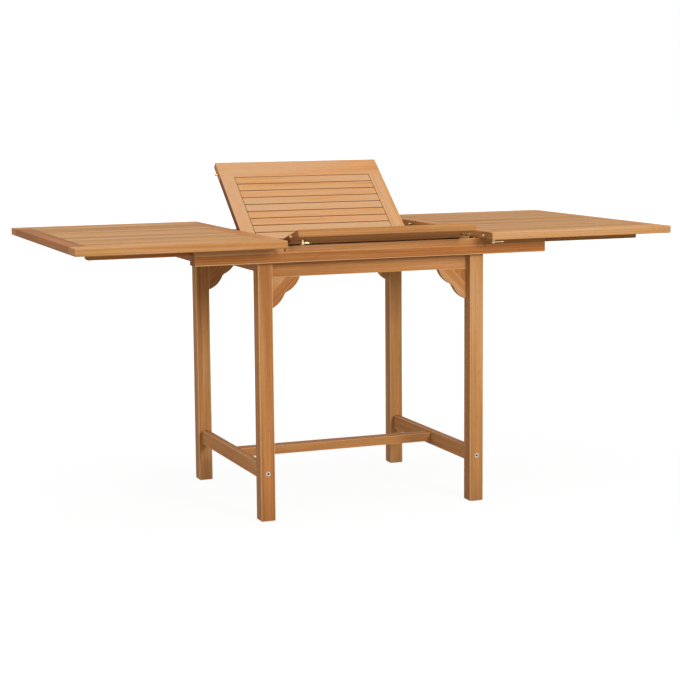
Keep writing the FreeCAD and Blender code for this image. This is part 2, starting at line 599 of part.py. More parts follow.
def make_panel(side, outward, edge):
    """One sliding top with its runners and fittings, from its inner edge outwards."""
    name = side + "_panel"
    xs = sorted((edge, edge + outward * PANEL_LENGTH))
    ys = (-HALF_DEPTH, HALF_DEPTH)
    frame = framed_top(xs, ys, (RAIL_WIDTH, RAIL_WIDTH), PANEL_SLATS, ys)
    screws = []
    rooms = []
    for end, sy in ENDS:
        bar = runner(edge, outward, sy)
        places = [edge + outward * (RUNNER_INSET + inset) for inset in
                  (RUNNER_SCREW_INSET, RUNNER_LENGTH - RUNNER_SCREW_INSET)]
        seat = RUNNER_BOTTOM + SLIDE_CLEARANCE
        holes = [screw_room(x, sy * RUNNER_Y, RUNNER_BOTTOM, seat) for x in places]
        screws += [runner_screw(x, sy * RUNNER_Y) for x in places]
        rooms += holes
        save("%s_runner_%s" % (side, end), [bar.cut(holes)])
    fittings = (-FITTING_Y, FITTING_Y)
    if outward < 0:
        rooms += [bush_hole(edge, y) for y in fittings]
        save(name + "_bushes", [bush(edge, y) for y in fittings])
        save(name + "_strikers", [panel_striker(edge, y) for y in fittings])
    else:
        pins = fittings + (-MID_PIN, MID_PIN)
        hook_x = edge + HOOK_SET_BACK
        rooms += [pin_hole(edge, y) for y in pins] + [screw_hole(hook_x, y) for y in fittings]
        screws += [hook_screw(hook_x, y) for y in fittings]
        save(name + "_pins", [dowel_pin(edge, y) for y in pins])
        for end, sy in ENDS:
            save("%s_hook_%s" % (name, end), [hook(hook_x, sy * FITTING_Y, LONG_REACH, sy)])
    save(name + "_screws", screws)
    for piece, solids in frame.items():
        save("%s_%s" % (name, piece), drill(solids, rooms))


def hinge_parts(x):
    """One spine hinge lying open: the plate and knuckles of each half, its pin and its room."""
    step = HINGE_WIDTH / KNUCKLES
    start = x - HINGE_WIDTH / 2
    axle = rod(HINGE_PIN_R, point(start, 0, HINGE_Z), X_AXIS, HINGE_WIDTH)
    bore = rod(HINGE_PIN_R + PIVOT_CLEARANCE, point(start, 0, HINGE_Z), X_AXIS, HINGE_WIDTH)
    room_r = KNUCKLE_R + KNUCKLE_CLEARANCE

    def knuckle(radius, index, grow):
        return rod(radius, point(start + index * step - grow, 0, HINGE_Z), X_AXIS, step + 2 * grow)

    def plate(sy):
        ys = (sy * SPINE_GAP / 2, sy * (SPINE_GAP / 2 + HINGE_PLATE))
        return box((start, start + HINGE_WIDTH), ys, (TOP_HEIGHT - HINGE_DEPTH, TOP_HEIGHT - HINGE_RISE))

    grow = KNUCKLE_CLEARANCE / 2
    outer = [knuckle(KNUCKLE_R, index, -grow) for index in (0, 2)]
    rear = plate(1).cut(knuckle(room_r, 1, grow)).fuse(outer)
    front = plate(-1).cut([knuckle(room_r, index, grow) for index in (0, 2)])
    front = front.fuse(knuckle(KNUCKLE_R, 1, -grow))
    room = rod(room_r, point(start - grow, 0, HINGE_Z), X_AXIS, HINGE_WIDTH + 2 * grow)
    return {"rear": rear.cut(axle).removeSplitter(), "front": front.cut(bore).removeSplitter(),
            "axle": axle, "room": room, "rear_plate": plate(1), "front_plate": plate(-1)}


def front_tilt():
    """The rest angle of the front half, in degrees: its underside just clears the strip's upper corner."""
    tilt = math.radians(REAR_TILT)
    from_pivot = (-PIVOT_Y, HINGE_Z - PIVOT_Z)
    spine_y = PIVOT_Y + from_pivot[0] * math.cos(tilt) - from_pivot[1] * math.sin(tilt)
    spine_z = PIVOT_Z + from_pivot[0] * math.sin(tilt) + from_pivot[1] * math.cos(tilt)
    ahead = spine_y + STRIP_INNER + STRIP_CHAMFER
    above = STRIP_TOP - spine_z
    drop = BOARD + HINGE_RISE + LEAF_REST
    return math.degrees(math.acos(-drop / math.hypot(ahead, above)) - math.atan2(ahead, above))


def rear_turned(solid):
    """A solid of the rear half, turned from flat to its rest."""
    turned = solid.copy()
    turned.rotate(point(0, PIVOT_Y, PIVOT_Z), X_AXIS, REAR_TILT)
    return turned


def front_turned(solid):
    """A solid of the front half, folded about the spine hinges and turned with the rear half."""
    turned = solid.copy()
    turned.rotate(point(0, 0, HINGE_Z), X_AXIS, -(REAR_TILT + front_tilt()))
    return rear_turned(turned)


def leaf_arm(sx):
    """A pivot arm under the rear half: a batten with a round-ended ear for the pivot bolt."""
    xs = (sx * ARM_OFFSET, sx * ARM_OUTER)
    batten = box(xs, (ARM_START, ARM_END), (UNDERSIDE - ARM_HEIGHT, UNDERSIDE))
    ear = box(xs, (PIVOT_Y - EAR_R, PIVOT_Y + EAR_R), (PIVOT_Z, UNDERSIDE))
    tip = rod(EAR_R, point(sx * ARM_OFFSET, PIVOT_Y, PIVOT_Z), X_AXIS, sx * ARM_THICK)
    bore = rod(PIVOT_R + PIVOT_CLEARANCE, point(sx * ARM_OFFSET, PIVOT_Y, PIVOT_Z), X_AXIS, sx * ARM_THICK)
    return batten.fuse([ear, tip]).cut(bore).removeSplitter()


def make_leaf_half(end, sy, turned):
    """One half of the leaf with its fittings, built flat and then turned to its rest."""
    name = "leaf_" + end
    spine = sy * SPINE_GAP / 2
    outer = sy * HALF_DEPTH
    rails = (RAIL_WIDTH, SPINE_WIDTH) if sy < 0 else (SPINE_WIDTH, RAIL_WIDTH)
    xs = (-HALF_LEAF, HALF_LEAF)
    frame = framed_top(xs, sorted((spine, outer)), rails, LEAF_SLATS, (outer,))
    fitting = sy * FITTING_Y
    sockets = (fitting, sy * MID_PIN)
    hook_x = HOOK_SET_BACK - HALF_LEAF
    rooms = [pin_hole(-HALF_LEAF, fitting), screw_hole(hook_x, fitting)]
    rooms += [bush_hole(HALF_LEAF, y) for y in sockets]
    hinges = [hinge_parts(x) for x in (-HINGE_SPREAD, 0.0, HINGE_SPREAD)]
    for hinge in hinges:
        rooms += [hinge["room"], hinge[end + "_plate"]]
    screws = [hook_screw(hook_x, fitting)]
    groups = {
        "dowels": [dowel_pin(-HALF_LEAF, fitting)] + [bush(HALF_LEAF, y) for y in sockets],
        "striker": [leaf_striker(fitting)],
        "hook": [hook(hook_x, fitting, SHORT_REACH, sy)],
        "hinge_leaves": [hinge[end] for hinge in hinges],
    }
    if sy > 0:
        groups["hinge_leaves"] += [hinge["axle"] for hinge in hinges]
        seat = UNDERSIDE - ARM_HEIGHT
        arm_ys = (ARM_START + ARM_SCREW_INSET, ARM_END - ARM_SCREW_INSET)
        for side, sx in SIDES:
            x = sx * (ARM_OFFSET + ARM_THICK / 2)
            holes = [screw_room(x, y, seat, seat) for y in arm_ys]
            screws += holes
            rooms += holes
            groups["arm_" + side] = [leaf_arm(sx).cut(holes)]
    groups["screws"] = screws
    for piece, solids in frame.items():
        groups[piece] = drill(solids, rooms)
    for piece, solids in groups.items():
        save("%s_%s" % (name, piece), [turned(solid) for solid in solids])


os.makedirs("parts", exist_ok=True)
make_legs()
make_aprons()
make_brackets()
make_stretchers()
make_guides()
make_pivot_rails()
make_panel("left", -1, -LEFT_OPEN)
make_panel("right", 1, FULL_OPEN)
make_leaf_half("rear", 1, rear_turned)
make_leaf_half("front", -1, front_turned)
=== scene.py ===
"""Looks of the extending garden table: teak boards with their own grain, brass fittings, a plain studio.

Metres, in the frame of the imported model: X along the table, Y to the back, Z up, origin on the floor
midway between the legs. Each wooden piece is a clean copy of its solid with eased edges and grain of its
own; slats, bolts and screws are grown by geometry nodes.
"""
from __future__ import annotations

import json
import logging
import math
import random
from dataclasses import asdict, dataclass
from enum import Enum, IntEnum, StrEnum
from typing import Any, Callable, Iterator, Mapping, Optional, Sequence, Union

import bmesh
import bpy
from bpy.types import Material, Mesh, Object
from mathutils import Matrix, Vector

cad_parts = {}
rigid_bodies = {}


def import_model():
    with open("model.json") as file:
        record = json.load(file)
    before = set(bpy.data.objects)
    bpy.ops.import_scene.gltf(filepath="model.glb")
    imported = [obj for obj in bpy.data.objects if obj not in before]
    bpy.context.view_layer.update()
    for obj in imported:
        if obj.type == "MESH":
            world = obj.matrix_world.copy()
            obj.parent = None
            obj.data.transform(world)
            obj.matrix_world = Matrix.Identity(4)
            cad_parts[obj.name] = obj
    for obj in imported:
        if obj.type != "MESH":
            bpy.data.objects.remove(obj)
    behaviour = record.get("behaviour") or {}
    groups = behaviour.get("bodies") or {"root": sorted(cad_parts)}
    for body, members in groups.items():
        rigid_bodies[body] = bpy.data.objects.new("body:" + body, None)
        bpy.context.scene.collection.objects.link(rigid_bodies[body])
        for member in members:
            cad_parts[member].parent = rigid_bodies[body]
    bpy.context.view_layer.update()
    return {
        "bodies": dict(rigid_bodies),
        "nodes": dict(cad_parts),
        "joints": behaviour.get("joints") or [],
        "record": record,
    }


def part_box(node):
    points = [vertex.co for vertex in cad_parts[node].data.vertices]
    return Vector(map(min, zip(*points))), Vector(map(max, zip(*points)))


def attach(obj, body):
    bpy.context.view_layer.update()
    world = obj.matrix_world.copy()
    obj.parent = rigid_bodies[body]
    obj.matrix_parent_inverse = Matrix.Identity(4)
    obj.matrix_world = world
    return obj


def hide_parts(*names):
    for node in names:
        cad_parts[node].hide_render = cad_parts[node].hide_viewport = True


LOG = logging.getLogger("garden_table")
MERGE = 1e-6  # points nearer than this are one point
FLAT_ANGLE = math.radians(0.6)  # faces that meet at less than this are one face
FACING = 0.8  # the least cosine at which a face counts as facing an axis

Pair = tuple[float, float]
Triple = tuple[float, float, float]
Spot = tuple[Vector, Vector]  # a place and the way that it faces
Scalar = Union["Field", float]
Operand = Union["Field", float, Sequence[float]]
Sockets = Optional[Mapping[Union[str, int], Any]]
FaceTest = Callable[[bmesh.types.BMFace], bool]


class Field:
    """A node's output socket that takes part in Python sums and adds Math nodes as it goes."""

    def __init__(self, tree: NodeTree, socket: bpy.types.NodeSocket) -> None:
        """Keep the socket and the tree that its node stands in."""
        self.tree = tree
        self.socket = socket

    def math(self, operation: str, *others: Scalar) -> Field:
        """Put this value, and others after it, through one Math node."""
        return self.tree.out("ShaderNodeMath", dict(enumerate((self, *others))), operation=operation)

    def __add__(self, other: Scalar) -> Field:
        """This value plus another."""
        return self.math("ADD", other)

    def __radd__(self, other: Scalar) -> Field:
        """Another value plus this one."""
        return self + other

    def __sub__(self, other: Scalar) -> Field:
        """This value less another."""
        return self.math("SUBTRACT", other)

    def __rsub__(self, other: Scalar) -> Field:
        """Another value less this one."""
        return self.tree.out("ShaderNodeMath", {0: other, 1: self}, operation="SUBTRACT")

    def __mul__(self, other: Scalar) -> Field:
        """This value times another."""
        return self.math("MULTIPLY", other)

    def __rmul__(self, other: Scalar) -> Field:
        """Another value times this one."""
        return self * other

    def __neg__(self) -> Field:
        """This value with the other sign."""
        return self * -1.0

    def ramp(self, low: float, high: float) -> Field:
        """Rise smoothly from 0 at the low value to 1 at the high one."""
        return self.tree.out("ShaderNodeMapRange", {"Value": self, "From Min": low, "From Max": high},
                             interpolation_type="SMOOTHSTEP")


class NodeTree:
    """Adds nodes to a shader or geometry tree."""

    def __init__(self, tree: bpy.types.NodeTree) -> None:
        """Take an emptied tree that nodes go into."""
        self.tree = tree
        tree.nodes.clear()

    def node(self, kind: str, sockets: Sockets = None, **settings: Any) -> bpy.types.Node:
        """Add one node.

        Args:
            kind: The node's type.
            sockets: Values or fields for its inputs, by name or number.
            settings: Its properties, set before its sockets.

        Returns:
            The new node.
        """
        node = self.tree.nodes.new(kind)
        for name, value in settings.items():
            setattr(node, name, value)
        for key, value in (sockets or {}).items():
            if isinstance(value, Field):
                self.tree.links.new(value.socket, node.inputs[key])
            else:
                node.inputs[key].default_value = value
        return node

    def out(self, kind: str, sockets: Sockets = None, output: Union[str, int] = 0, **settings: Any) -> Field:
        """Add one node in the same way and take one of its outputs, by name or number."""
        return Field(self, self.node(kind, sockets, **settings).outputs[output])

    def vector(self, operation: str, first: Operand, second: Operand) -> Field:
        """Put two vectors through one Vector Math node."""
        return self.out("ShaderNodeVectorMath", {0: first, 1: second}, operation=operation)

    def split(self, vector: Field) -> tuple[Field, Field, Field]:
        """Take a vector apart into its three values."""
        x, y, z = self.node("ShaderNodeSeparateXYZ", {0: vector}).outputs
        return Field(self, x), Field(self, y), Field(self, z)

    def join(self, x: Scalar, y: Scalar, z: Scalar) -> Field:
        """Put three values together to a vector."""
        return self.out("ShaderNodeCombineXYZ", {0: x, 1: y, 2: z})


@dataclass(frozen=True)
class Mottle:
    """One scale of noise: features per metre along each axis, and how many finer layers it has."""

    stretch: Triple
    layers: float


class SurfaceTree(NodeTree):
    """A new material and the nodes of its surface."""

    SHARE, FIRST, SECOND, MIXED = 0, 6, 7, 2  # the Mix node's sockets for colours

    def __init__(self, name: str) -> None:
        """Start an empty material.

        Args:
            name: The material's name.
        """
        self.material = bpy.data.materials.new(name)
        self.material.use_nodes = True
        super().__init__(self.material.node_tree)

    def attribute(self, name: str, output: str = "Fac") -> Field:
        """Read an attribute of the mesh: Fac for a number, Vector for a vector."""
        return self.out("ShaderNodeAttribute", output=output, attribute_name=name)

    def noise(self, place: Field, mottle: Mottle) -> Field:
        """Soft noise about zero."""
        place = self.vector("MULTIPLY", place, mottle.stretch)
        return self.out("ShaderNodeTexNoise", {"Vector": place, "Scale": 1.0, "Detail": mottle.layers}) - 0.5

    def blend(self, share: Scalar, first: Operand, second: Operand, mode: str = "MIX") -> Field:
        """Bring a share of a second colour into the first."""
        sockets = {self.SHARE: share, self.FIRST: opaque(first), self.SECOND: opaque(second)}
        return self.out("ShaderNodeMix", sockets, self.MIXED, data_type="RGBA", blend_type=mode)

    def bump(self, height: Field, strength: float, depth: float) -> Field:
        """Tilt the normal by a height, of which 1 is a depth in metres."""
        return self.out("ShaderNodeBump", {"Strength": strength, "Distance": depth, "Height": height})

    def finish(self, surface: Field) -> Material:
        """Lead a shader to the material's output and hand out the material."""
        self.node("ShaderNodeOutputMaterial", {"Surface": surface})
        return self.material


class GeometryTree(NodeTree):
    """A geometry nodes group with named inputs."""

    def __init__(self, name: str, inputs: Mapping[str, Sequence[str]]) -> None:
        """Start a group.

        Args:
            name: The group's name.
            inputs: The names of its inputs, by the kind of socket.
        """
        super().__init__(bpy.data.node_groups.new(name, "GeometryNodeTree"))
        face = self.tree.interface
        face.new_socket("Geometry", in_out="INPUT", socket_type="NodeSocketGeometry")
        self.identifiers: dict[str, str] = {}
        for kind, labels in inputs.items():
            for label in labels:
                socket = face.new_socket(label, in_out="INPUT", socket_type="NodeSocket" + kind)
                self.identifiers[label] = socket.identifier
        face.new_socket("Geometry", in_out="OUTPUT", socket_type="NodeSocketGeometry")
        self.entry = self.node("NodeGroupInput")

    def given(self, label: str) -> Field:
        """The input of that name."""
        return Field(self, self.entry.outputs[label])

    def named(self, label: str) -> Field:
        """The vector attribute of that name."""
        return self.out("GeometryNodeInputNamedAttribute", {"Name": label}, data_type="FLOAT_VECTOR")

    def height_of_normal(self) -> Field:
        """How far each face looks up, from -1 to 1."""
        return self.split(self.out("GeometryNodeInputNormal"))[2]

    def store(self, geometry: Field, label: str, value: Operand, kind: str = "FLOAT",
              domain: str = "POINT") -> Field:
        """Keep a named attribute on the geometry."""
        sockets = {"Geometry": geometry, "Name": label, "Value": value}
        return self.out("GeometryNodeStoreNamedAttribute", sockets, data_type=kind, domain=domain)

    def together(self, *parts: Field) -> Field:
        """Join several geometries into one.

        Args:
            parts: The geometries.

        Returns:
            All of them.
        """
        node = self.node("GeometryNodeJoinGeometry")
        for part in parts:
            self.tree.links.new(part.socket, node.inputs[0])
        return Field(self, node.outputs[0])

    def finish(self, geometry: Field, material: Field) -> None:
        """End the group: realize the instances and give the material.

        Args:
            geometry: The geometry to hand out.
            material: The material that it takes.
        """
        real = self.out("GeometryNodeRealizeInstances", {0: geometry})
        painted = self.out("GeometryNodeSetMaterial", {"Geometry": real, "Material": material})
        self.node("NodeGroupOutput", {0: painted})

    def grow(self, name: str, seed_mesh: Mesh, values: Mapping[str, Any]) -> Object:
        """Run the group once and keep its result as a plain mesh.

        Args:
            name: The new piece's name.
            seed_mesh: The mesh that the group starts from.
            values: A value for each named input.

        Returns:
            The piece, at the origin, with no modifier.
        """
        piece = add_object(name, seed_mesh)
        modifier = piece.modifiers.new("grow", "NODES")
        modifier.node_group = self.tree
        for label, value in values.items():
            modifier[self.identifiers[label]] = value
        return settle(piece)


def opaque(colour: Operand) -> Operand:
    """A colour with its alpha, or the field that it already is."""
    return colour if isinstance(colour, Field) else (*colour, 1.0)


def add_object(name: str, data: bpy.types.ID) -> Object:
    """Put a mesh, a lamp or a camera into the scene.

    Args:
        name: The object's name.
        data: What it shows.

    Returns:
        The new object, at the origin.
    """
    piece = bpy.data.objects.new(name, data)
    bpy.context.scene.collection.objects.link(piece)
    return piece


def settle(piece: Object) -> Object:
    """Turn a piece's modifiers into its plain mesh.

    Args:
        piece: The piece with its modifiers.

    Returns:
        The same piece, with none.
    """
    graph = bpy.context.evaluated_depsgraph_get()
    mesh = bpy.data.meshes.new_from_object(piece.evaluated_get(graph), preserve_all_data_layers=True,
                                           depsgraph=graph)
    piece.modifiers.clear()
    piece.data = mesh
    mesh.name = piece.name
    return piece


class Side(StrEnum):
    """The table's sides, seen from the front, by their words in the nodes' names."""

    LEFT = "left"
    RIGHT = "right"


class End(StrEnum):
    """The table's front and rear, by their words in the nodes' names."""

    FRONT = "front"
    REAR = "rear"


class Slot(Enum):
    """The record's material slots."""

    TEAK = "teak"
    BRASS = "brass"
    STEEL = "steel"


class Grain(Enum):
    """The run of a board's grain: along, across and through it, while its sub-assembly lies flat."""

    X = ((1, 0, 0), (0, 1, 0), (0, 0, 1))
    Y = ((0, 1, 0), (1, 0, 0), (0, 0, 1))
    Z = ((0, 0, 1), (1, 0, 0), (0, 1, 0))
    FALLING = ((1, 0, -1), (1, 0, 1), (0, 1, 0))
    RISING = ((1, 0, 1), (-1, 0, 1), (0, 1, 0))

    def axes(self) -> tuple[Vector, Vector, Vector]:
        """The three directions as unit vectors."""
        along, across, through = (Vector(axis).normalized() for axis in self.value)
        return along, across, through


class Shade(Enum):
    """A board's place in the range of teak: how pale and how red it is, below zero for yellow."""

    PALE = (1.25, 0.0)
    HONEY = (0.45, 0.0)
    STRAW = (0.40, -0.80)
    OLIVE = (0.15, -1.00)
    GOLDEN = (0.15, 0.15)
    TAN = (0.0, 0.35)
    RUSSET = (-0.20, 0.70)
    DUSKY = (-0.70, -0.45)
    UMBER = (-1.70, 0.35)


@dataclass(frozen=True)
class TeakFinish:
    """Oiled teak as a solid texture in each board's own grain coordinates."""

    name: str = "oiled_teak"
    palest: Triple = (0.535, 0.313, 0.170)
    light: Triple = (0.62, 0.305, 0.108)
    dark: Triple = (0.31, 0.118, 0.033)
    red_cast: Triple = (1.0, 0.82, 0.68)
    yellow_cast: Triple = (0.92, 1.0, 1.0)
    # darkens end grain; the same cast also paints shade on shaded edges and on slat sides in their gaps
    end_cast: Triple = (0.36, 0.25, 0.19)
    pore_brown: Triple = (0.20, 0.085, 0.032)
    # painted highlight: a pale colour for eased and rounded corners, where light catches the arris; it also
    # stands for some edge wear
    rubbed: Triple = (0.80, 0.47, 0.22)
    bends: Mottle = Mottle((1.3, 9.0, 9.0), 2.0)
    figures: Mottle = Mottle((1.5, 18.0, 18.0), 2.0)
    bands: Mottle = Mottle((1.2, 34.0, 34.0), 2.0)
    streaks: Mottle = Mottle((2.6, 95.0, 95.0), 3.0)
    fibres: Mottle = Mottle((26.0, 820.0, 820.0), 2.0)
    pores: Mottle = Mottle((60.0, 1500.0, 1500.0), 1.0)
    ring_width: float = 0.0052
    ring_bend: float = 0.020
    late_wood: Pair = (0.35, 0.98)
    open_pore: Pair = (0.10, 0.24)
    bleached: Pair = (0.62, 1.1)
    middle_tone: float = 0.58
    tone_swing: float = 0.34
    figure_swing: float = 1.1
    streak_swing: float = 0.95
    fibre_swing: float = 0.4
    late_swing: float = 0.2
    band_swing: float = 2.2
    pore_share: float = 0.4
    rubbed_share: float = 0.75
    roughness: float = 0.56
    streak_rough: float = 0.25
    pore_rough: float = 0.15
    rubbed_smooth: float = 0.10
    fibre_height: float = 0.6
    late_height: float = 0.3
    pore_drop: float = 0.5
    relief: float = 0.35
    grain_depth: float = 0.0005
    gloss: float = 0.05

    def make(self) -> Material:
        """Build the material.

        Returns:
            The teak, which reads the attributes grain, tone and red, an end mark that darkens end grain and
            also paints shade on shaded edges and slat sides, and a corner mark that is a painted highlight,
            partly edge wear.
        """
        tree = SurfaceTree(self.name)
        place = tree.attribute("grain", "Vector")
        tone, red, end, worn = map(tree.attribute, ("tone", "red", "end", "worn"))
        mottles = (self.bends, self.figures, self.bands, self.streaks, self.fibres, self.pores)
        bend, figure, band, streak, fibre, speck = (tree.noise(place, mottle) for mottle in mottles)
        _, across, through = tree.split(place)
        from_pith = (across * across + through * through).math("SQRT")
        rings = (from_pith + bend * self.ring_bend) * (1.0 / self.ring_width)
        late = rings.math("FRACT").ramp(*self.late_wood)
        pore = speck.ramp(*self.open_pore)
        pale = self.middle_tone + figure * self.figure_swing + streak * self.streak_swing
        pale = pale + fibre * self.fibre_swing - late * self.late_swing + tone * self.tone_swing
        colour = tree.blend(pale, self.dark, self.light)
        colour = tree.blend(pale.ramp(*self.bleached), colour, self.palest)
        cast = red + band * self.band_swing
        colour = tree.blend(cast, colour, self.red_cast, "MULTIPLY")
        colour = tree.blend(-cast, colour, self.yellow_cast, "MULTIPLY")
        colour = tree.blend(pore * self.pore_share, colour, self.pore_brown)
        # end grain darkening, and painted shade where the end mark is set for shaded edges and slat gaps
        colour = tree.blend(end, colour, self.end_cast, "MULTIPLY")
        # painted highlight on eased and rounded corners, partly edge wear
        colour = tree.blend(worn * self.rubbed_share, colour, self.rubbed)
        rough = self.roughness + streak * self.streak_rough + pore * self.pore_rough
        rough = rough - worn * self.rubbed_smooth
        height = fibre * self.fibre_height + late * self.late_height - pore * self.pore_drop
        return tree.finish(tree.out("ShaderNodeBsdfPrincipled", {
            "Base Color": colour, "Roughness": rough, "Specular IOR Level": self.gloss,
            "Normal": tree.bump(height, self.relief, self.grain_depth)}))


@dataclass(frozen=True)
class MetalFinish:
    """A metal with wear: clean and dulled patches, faint scratches, and painted shade near black on the
    floors of recesses.
    """

    name: str
    clean: Triple
    dulled: Triple
    roughness: float = 0.42
    dulling: float = 0.85
    # painted shade: the near-black colour of recess floors
    grime: Triple = (0.03, 0.025, 0.02)
    patches: Mottle = Mottle((90.0, 90.0, 90.0), 3.0)
    scratches: Mottle = Mottle((300.0, 4000.0, 1200.0), 2.0)
    dull_patch: Pair = (-0.08, 0.22)
    dull_rough: float = 0.25
    scratch_rough: float = 0.12
    relief: float = 0.12
    scratch_depth: float = 0.0002

    def make(self) -> Material:
        """Build the material.

        Returns:
            The metal, in object coordinates; it reads the attribute recess, which paints shade on a recess's
            floor.
        """
        tree = SurfaceTree(self.name)
        place = tree.out("ShaderNodeTexCoord", output="Object")
        dull = tree.noise(place, self.patches).ramp(*self.dull_patch) * self.dulling
        scratch = tree.noise(place, self.scratches)
        colour = tree.blend(dull, self.clean, self.dulled)
        # painted shade: recess floors are blended to near black
        return tree.finish(tree.out("ShaderNodeBsdfPrincipled", {
            "Base Color": tree.blend(tree.attribute("recess"), colour, self.grime), "Metallic": 1.0,
            "Roughness": self.roughness + dull * self.dull_rough + scratch * self.scratch_rough,
            "Normal": tree.bump(scratch, self.relief, self.scratch_depth)}))


BRASS = MetalFinish("polished_brass", clean=(0.62, 0.42, 0.21), dulled=(0.30, 0.17, 0.06))
# painted shade: a darker copy of the brass for the strikers, which sit in shade under the boards
SHADOWED_BRASS = MetalFinish("aged_brass", clean=(0.24, 0.14, 0.06), dulled=(0.12, 0.07, 0.03))
STEEL = MetalFinish("satin_steel", clean=(0.56, 0.54, 0.51), dulled=(0.30, 0.28, 0.26), roughness=0.38,
                    dulling=0.6)


@dataclass(frozen=True)
class FloorFinish:
    """A pale studio floor that reads as white, with the object's soft shadow."""

    name: str = "studio_floor"
    tint: Triple = (0.38, 0.38, 0.38)
    glow: float = 1.165
    glow_share: float = 0.80
    fade: Pair = (0.9, 2.2)

    def make(self) -> Material:
        """Build the material.

        Returns:
            The floor, lifted towards white for what looks at it.
        """
        tree = SurfaceTree(self.name)
        matt = tree.out("ShaderNodeBsdfDiffuse", {"Color": opaque(self.tint)})
        glow = tree.out("ShaderNodeEmission", {"Strength": self.glow})
        place = tree.out("ShaderNodeTexCoord", output="Object")
        reach = tree.out("ShaderNodeVectorMath", {0: place}, "Value", operation="LENGTH")
        share = self.glow_share + reach.ramp(*self.fade) * (1.0 - self.glow_share)
        return tree.finish(tree.out("ShaderNodeMixShader", {0: looked_at(tree) * share, 1: matt, 2: glow}))


def looked_at(tree: NodeTree) -> Field:
    """Whether a ray is one that shows the background: camera, mirror or glass.

    Args:
        tree: The tree that asks.

    Returns:
        1 for such a ray, else 0.
    """
    path = tree.node("ShaderNodeLightPath").outputs
    camera, mirror, glass = (Field(tree, path["Is %s Ray" % kind])
                             for kind in ("Camera", "Glossy", "Transmission"))
    return camera.math("MAXIMUM", mirror).math("MAXIMUM", glass)


